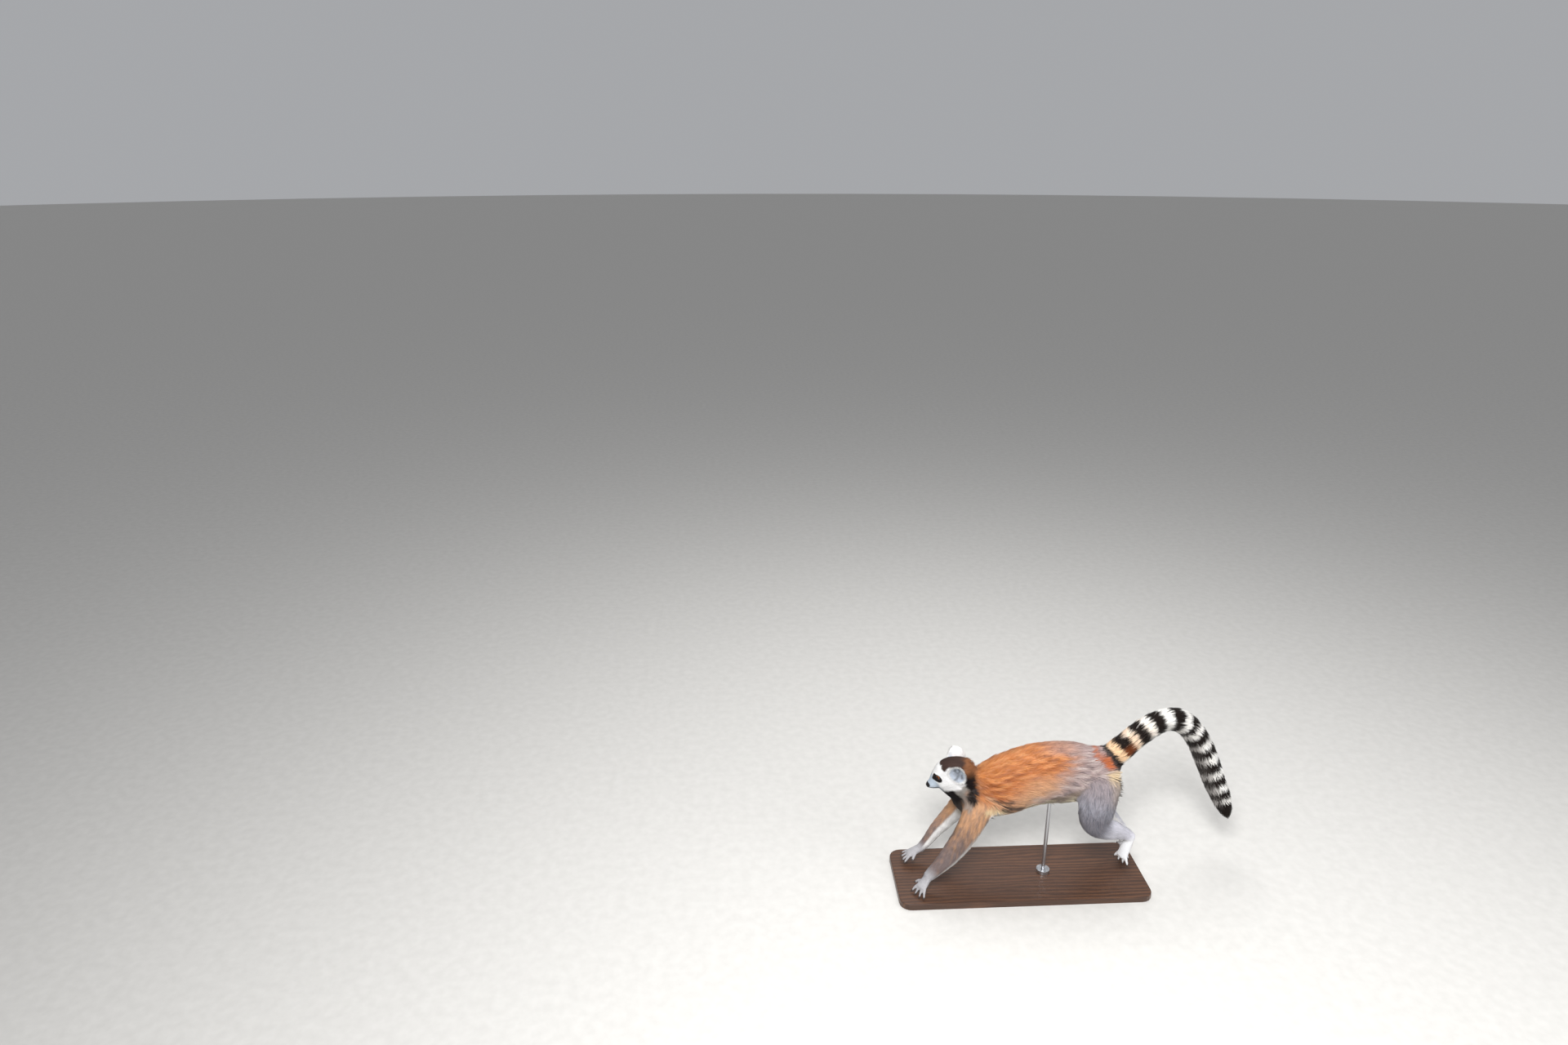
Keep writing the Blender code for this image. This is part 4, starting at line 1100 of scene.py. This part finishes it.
def grow(name, chosen, form, finish, slot):
    """Joins the chosen locks into one piece."""
    corners, triangles = form
    x, y, z = (part[None, :, None] for part in corners.T)
    n, size = len(chosen), len(corners)
    start = (root[chosen] - up[chosen] * 0.0007)[:, None]
    end = tip[chosen][:, None]
    bend = way[chosen] * (run[chosen] * 0.42)[:, None] + up[chosen] * (height[chosen] * 0.95)[:, None]
    middle = start + bend[:, None]
    line = start * (1 - z) ** 2 + middle * 2 * z * (1 - z) + end * z**2
    heading = unit(end - start)
    flatwise = unit(np.cross(up[chosen][:, None], heading))
    upward = np.cross(heading, flatwise)
    size_of = broad[chosen][:, None, None]
    places = line + flatwise * x * size_of + upward * y * size_of

    mesh = bpy.data.meshes.new(name)
    mesh.vertices.add(n * size)
    mesh.vertices.foreach_set("co", places.astype(np.float32).ravel())
    loops = (triangles[None] + (np.arange(n) * size)[:, None, None]).ravel()
    mesh.loops.add(len(loops))
    mesh.loops.foreach_set("vertex_index", loops.astype(np.int32))
    mesh.polygons.add(len(loops) // 3)
    mesh.polygons.foreach_set("loop_start", np.arange(0, len(loops), 3, dtype=np.int32))
    mesh.update(calc_edges=True)
    mesh.polygons.foreach_set("use_smooth", np.ones(len(loops) // 3, bool))

    # Each lock is darker towards its root: partly the grey underfur, partly painted shade deep in the coat.
    fade = 0.78 + 0.22 * np.clip(z[0, :, 0] * 1.25, 0, 1) ** 0.8
    colour = shade[chosen][:, None] * fade[None, :, None]
    paler = pale_tip[chosen][:, None, None] * np.clip(z * 1.6 - 0.6, 0, 1)
    colour = colour * (1 - paler) + np.array(PALE) * paler
    add_colours(mesh, "coat", np.clip(colour, 0.005, 0.95).reshape(-1, 3))

    around = np.stack([corners[:, 0] * 6, corners[:, 2] * 0.9], 1)
    hair = (phase[chosen][:, None] + around[None]).reshape(-1, 2)[loops]
    patch = np.stack([corners[:, 0], corners[:, 2] - 0.5 + 0.2 * corners[:, 1]], 1) * 0.003
    baked = np.clip((flat[chosen][:, None] + patch[None]).reshape(-1, 2), 0, 1)[loops]
    for title, values in (("OFBake", baked), ("hair", hair)):
        mesh.uv_layers.new(name=title).data.foreach_set("uv", values.astype(np.float32).ravel())
    lit = unit(corners * (1, 1, 0) + (0, 0.35, 0))
    own = flatwise * lit[None, :, :1] + upward * lit[None, :, 1:2]
    soft = unit(0.45 * own + 0.75 * up[chosen][:, None] + 0.12 * heading)
    mesh.normals_split_custom_set_from_vertices(soft.reshape(-1, 3))
    piece = bpy.data.objects.new(name, mesh)
    bpy.context.scene.collection.objects.link(piece)
    mesh.materials.append(finish)
    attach(piece, "root")


coat_finish = fur_finish("coat_fur", 0.72, 0.16, "hair", (1, 1, 1), 0.0003)
MOST = 190e3  # triangles in one piece
FEWEST = 300  # locks worth a piece
for name, groups, slot in (
    ("back", (TRUNK,), "back_fur"),
    ("tail", (TAIL,), "tail_fur"),
    ("limb", (LEFT_ARM, RIGHT_ARM, LEFT_LEG, RIGHT_LEG), "limb_fur"),
    ("head", (HEAD,), "head_fur"),
    ("ear", (LEFT_EAR, RIGHT_EAR), "ear_fur"),
):
    for size, form, mine in (
        ("long", LONG_LOCK, length >= LONG_FROM),
        ("short", SHORT_LOCK, length < LONG_FROM),
    ):
        chosen = draw.permutation(np.flatnonzero(np.isin(kind, groups) & mine))
        if len(chosen) < FEWEST:
            continue
        parts = math.ceil(len(chosen) * len(form[1]) / MOST)
        for number, locks in enumerate(np.array_split(chosen, parts), 1):
            grow(f"{name}_coat_{size}_{number}", locks, form, coat_finish, slot)
bpy.data.meshes.remove(hide)


# ---------------------------------------------------------------- the eyes and lids
# Glass eyes as taxidermists set them: an amber iris with fine rays and a round black pupil under a
# clear bulging front. Each sits in a dark hairless lid, which is a rolled rim round the opening.

def to_eye(side):
    """The matrix that puts a piece, built with its gaze along Z and outer corner along X, in its socket."""
    gaze, outer, upright = eye_axes(side)
    turn = Matrix((outer, upright, gaze)).transposed().to_4x4()
    return Matrix.Translation(EYE_MIDDLE[side]) @ turn


glass, tree, shader = new_finish("amber_eye", 0.18)
flat_place = node(tree, "ShaderNodeUVMap", uv_map="iris").outputs["UV"]
centred = stretched(tree, flat_place, (2, 2, 1), (-1, -1, 0))
reach = node(tree, "ShaderNodeVectorMath", {0: centred}, operation="LENGTH").outputs["Value"]
split = node(tree, "ShaderNodeSeparateXYZ", {0: centred})
turn = node(tree, "ShaderNodeMath", {0: split.outputs[1], 1: split.outputs[0]}, operation="ARCTAN2")
rays = node(tree, "ShaderNodeCombineXYZ", {"X": turn.outputs[0], "Y": reach}).outputs[0]
rays = noise(tree, stretched(tree, rays, (14, 2.5, 1)), 1.4, 4.0, 0.6)
amber = ramp(tree, rays, (0.30, tone(96, 38, 8)), (0.52, tone(150, 72, 16)), (0.72, tone(190, 108, 32)))
pupil, rim = (0.002, 0.002, 0.002), (0.02, 0.012, 0.008)
shown = ramp(tree, reach, (0.300, pupil), (0.325, grey(1)), (0.470, grey(1)), (0.520, rim))
iris = node(tree, "ShaderNodeMix", {0: 1.0, 6: amber, 7: shown}, data_type="RGBA", blend_type="MULTIPLY")
tree.links.new(iris.outputs[2], shader.inputs["Base Color"])
relief(tree, shader, rays, 0.15, 0.0002)
shader.inputs["Specular IOR Level"].default_value = 0.1
shader.inputs["Coat Weight"].default_value = 0.4
shader.inputs["Coat Roughness"].default_value = 0.02

leather, tree, shader = new_finish("dark_leather", 0.5)
pebbles = node(tree, "ShaderNodeTexVoronoi", {"Vector": on_object(tree), "Scale": 1500.0}).outputs["Distance"]
blotches = ramp(tree, noise(tree, on_object(tree), 220.0), (0.3, tone(16, 13, 14)), (0.7, tone(34, 29, 29)))
tree.links.new(blotches, shader.inputs["Base Color"])
tree.links.new(ramp(tree, pebbles, (0.0, grey(0.30)), (0.6, grey(0.55))), shader.inputs["Roughness"])
relief(tree, shader, pebbles, 0.4, 0.0003)
shader.inputs["Coat Weight"].default_value = 0.2

RIM_ANGLE, RIM_THICKNESS = math.radians(54), 0.00095
for side, name in ((-1, "left"), (1, "right")):
    # the ball, with its clear front bulging
    shape = bmesh.new()
    bmesh.ops.create_uvsphere(shape, u_segments=40, v_segments=24, radius=EYE_RADIUS)
    for corner in shape.verts:
        angle = corner.co.angle(Vector((0, 0, 1)))
        corner.co *= 1 + 0.055 * max(0, 1 - (angle / 0.8) ** 2)
    layer = shape.loops.layers.uv.new("iris")
    for face in shape.faces:
        for loop in face.loops:
            x, y, z = loop.vert.co
            angle = Vector((x, y, z)).angle(Vector((0, 0, 1)))
            off_axis = math.hypot(x, y)
            if off_axis > 1e-9:
                x, y = x / off_axis, y / off_axis
            loop[layer].uv = (0.5 + angle / math.pi * x, 0.5 + angle / math.pi * y)
    bmesh.ops.transform(shape, matrix=to_eye(side), verts=shape.verts)
    bmesh.ops.recalc_face_normals(shape, faces=shape.faces)
    ball = add_piece(f"{name}_eyeball", shape, glass)
    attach(ball, "root")
    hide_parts(f"{name}_eye")

    # the rolled rim, turned round the gaze and then drawn to the lids' opening
    shape = bmesh.new()
    middle = EYE_RADIUS + 0.0004
    start = Matrix.Translation((middle * math.sin(RIM_ANGLE), 0, middle * math.cos(RIM_ANGLE)))
    bmesh.ops.create_circle(shape, segments=10, radius=RIM_THICKNESS,
                            matrix=start @ Matrix.Rotation(math.radians(90), 4, "X"))
    bmesh.ops.spin(shape, geom=[*shape.verts, *shape.edges], axis=(0, 0, 1), cent=(0, 0, 0),
                   angle=math.tau, steps=56, use_merge=True)
    for corner in shape.verts:
        x, y, z = corner.co
        turn_at, reach_at = math.atan2(y, x), math.hypot(x, y)
        angle = float(opening(np.array([turn_at]))[0]) - 0.01
        reach_at += middle * (math.sin(angle) - math.sin(RIM_ANGLE))
        corner.co = (reach_at * math.cos(turn_at), reach_at * math.sin(turn_at),
                     z + middle * (math.cos(angle) - math.cos(RIM_ANGLE)))
    bmesh.ops.transform(shape, matrix=to_eye(side), verts=shape.verts)
    bmesh.ops.remove_doubles(shape, verts=shape.verts, dist=1e-6)
    bmesh.ops.recalc_face_normals(shape, faces=shape.faces)
    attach(add_piece(f"{name}_eye_lid", shape, leather), "root")


# ---------------------------------------------------------------- the nose
# A pad of bare black leather over the tip of the muzzle, grooved down its middle, with a slit nostril
# on each side.

shape = bmesh.new()
bmesh.ops.create_uvsphere(shape, u_segments=44, v_segments=30, radius=1)
for corner in shape.verts:
    x, y, z = corner.co
    x, y, z = x * 0.0052, y * (0.0047 + 0.0008 * z), z * 0.0042
    for out, height, size, cut in ((0.0026, 0.0002, 0.0013, 0.0017), (0.0040, -0.0002, 0.0011, 0.0012)):
        close = math.exp(-(((abs(y) - out) / size) ** 2 + ((z - height) / (size * 0.8)) ** 2))
        x += cut * close * (x < 0)
    x += 0.0007 * math.exp(-((y / 0.0005) ** 2)) * (x < 0) * (z < 0.0012)
    corner.co = Vector(in_head((0.0040 + x, y, -0.0036 + z + 0.12 * x))[0].tolist())
bmesh.ops.recalc_face_normals(shape, faces=shape.faces)
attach(add_piece("nose_pad", shape, leather), "root")


# ---------------------------------------------------------------- the nails
# A small arched plate of dark horn lies on the back of each finger and toe, and ends just past its tip.
# It grows from the hide there, with its root under the nap.

horn, tree, shader = new_finish("dark_horn", 0.32)
grain = noise(tree, on_object(tree), 900.0, 2.0)
streaked = ramp(tree, grain, (0.3, tone(38, 32, 30)), (0.7, tone(74, 64, 58)))
tree.links.new(streaked, shader.inputs["Base Color"])
relief(tree, shader, grain, 0.2, 0.0002)

HAND_SIZE, FOOT_SIZE = (0.0325, 0.014), (0.057, 0.014)
# Wrist or heel, the way the paw points, the way its palm faces, its side, how many degrees the digits
# bend, and the palm's length and width.
PAWS_AT = {
    "left_hand": ((-0.2205, -0.054, 0.0425), (-0.60, -0.45, -0.58), (0.49, 0.36, -0.79), -1, 22, HAND_SIZE),
    "right_hand": ((-0.2215, 0.053, 0.0425), (-0.88, 0, -0.47), (0.47, 0, -0.88), 1, 12, HAND_SIZE),
    "left_foot": ((0.261, -0.0505, 0.1345), (-0.24, 0.03, -0.97), (0.80, 0.56, -0.18), -1, 20, FOOT_SIZE),
    "right_foot": ((0.284, 0.0485, 0.0840), (0.10, -0.05, -0.99), (0.99, 0, 0.10), 1, 20, FOOT_SIZE),
}
DIGIT = 0.0275  # a finger's length
THUMB = 50  # how many degrees it stands off


def digits_of(paw):
    """Each digit's tip, the way it points there, and the way its palm side faces."""
    wrist, along, palm, side, bend, (length, width) = PAWS_AT[paw]
    wrist, along = GROUND + Vector(wrist), Vector(along).normalized()
    palm = Vector(palm)
    palm = (palm - along * palm.dot(along)).normalized()
    inward = along.cross(palm) * side
    found = []
    for degrees in (-22, -7, 8, 23, THUMB):
        spread = math.radians(degrees)
        forward = (along * math.cos(spread) + inward * math.sin(spread)).normalized()
        if degrees == THUMB:
            root_at, reach_at = wrist + along * length * 0.45 + inward * width * 0.55, DIGIT * 0.9
        else:
            root_at = wrist + along * length + inward * width * 1.9 * math.sin(spread) - along * 0.0035
            reach_at = DIGIT * math.cos(spread)
        turn = math.radians(bend)
        first = (forward * math.cos(turn / 2) + palm * math.sin(turn / 2)).normalized()
        last = (forward * math.cos(turn) + palm * math.sin(turn)).normalized()
        under = (palm * math.cos(turn) - forward * math.sin(turn)).normalized()
        found.append((root_at + first * reach_at * 0.5 + last * reach_at * 0.4, last, under))
    return found


shape = bmesh.new()
for paw in PAWS_AT:
    for tip_at, last, under in digits_of(paw):
        across_it = under.cross(last)
        turn = Matrix((last, across_it, -under)).transposed().to_4x4()
        made = bmesh.ops.create_uvsphere(shape, u_segments=10, v_segments=6, radius=1)["verts"]
        for corner in made:
            x, y, z = corner.co
            arched = z * 0.0006 - 0.0007 * y * y - 0.0006 * x * x
            corner.co = (x * 0.0034, y * 0.0021 * (1 - 0.15 * x), arched)
        place = Matrix.Translation(tip_at + last * 0.0016 - under * 0.0020)
        bmesh.ops.transform(shape, matrix=place @ turn, verts=made)
bmesh.ops.recalc_face_normals(shape, faces=shape.faces)
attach(add_piece("nails", shape, horn), "root")
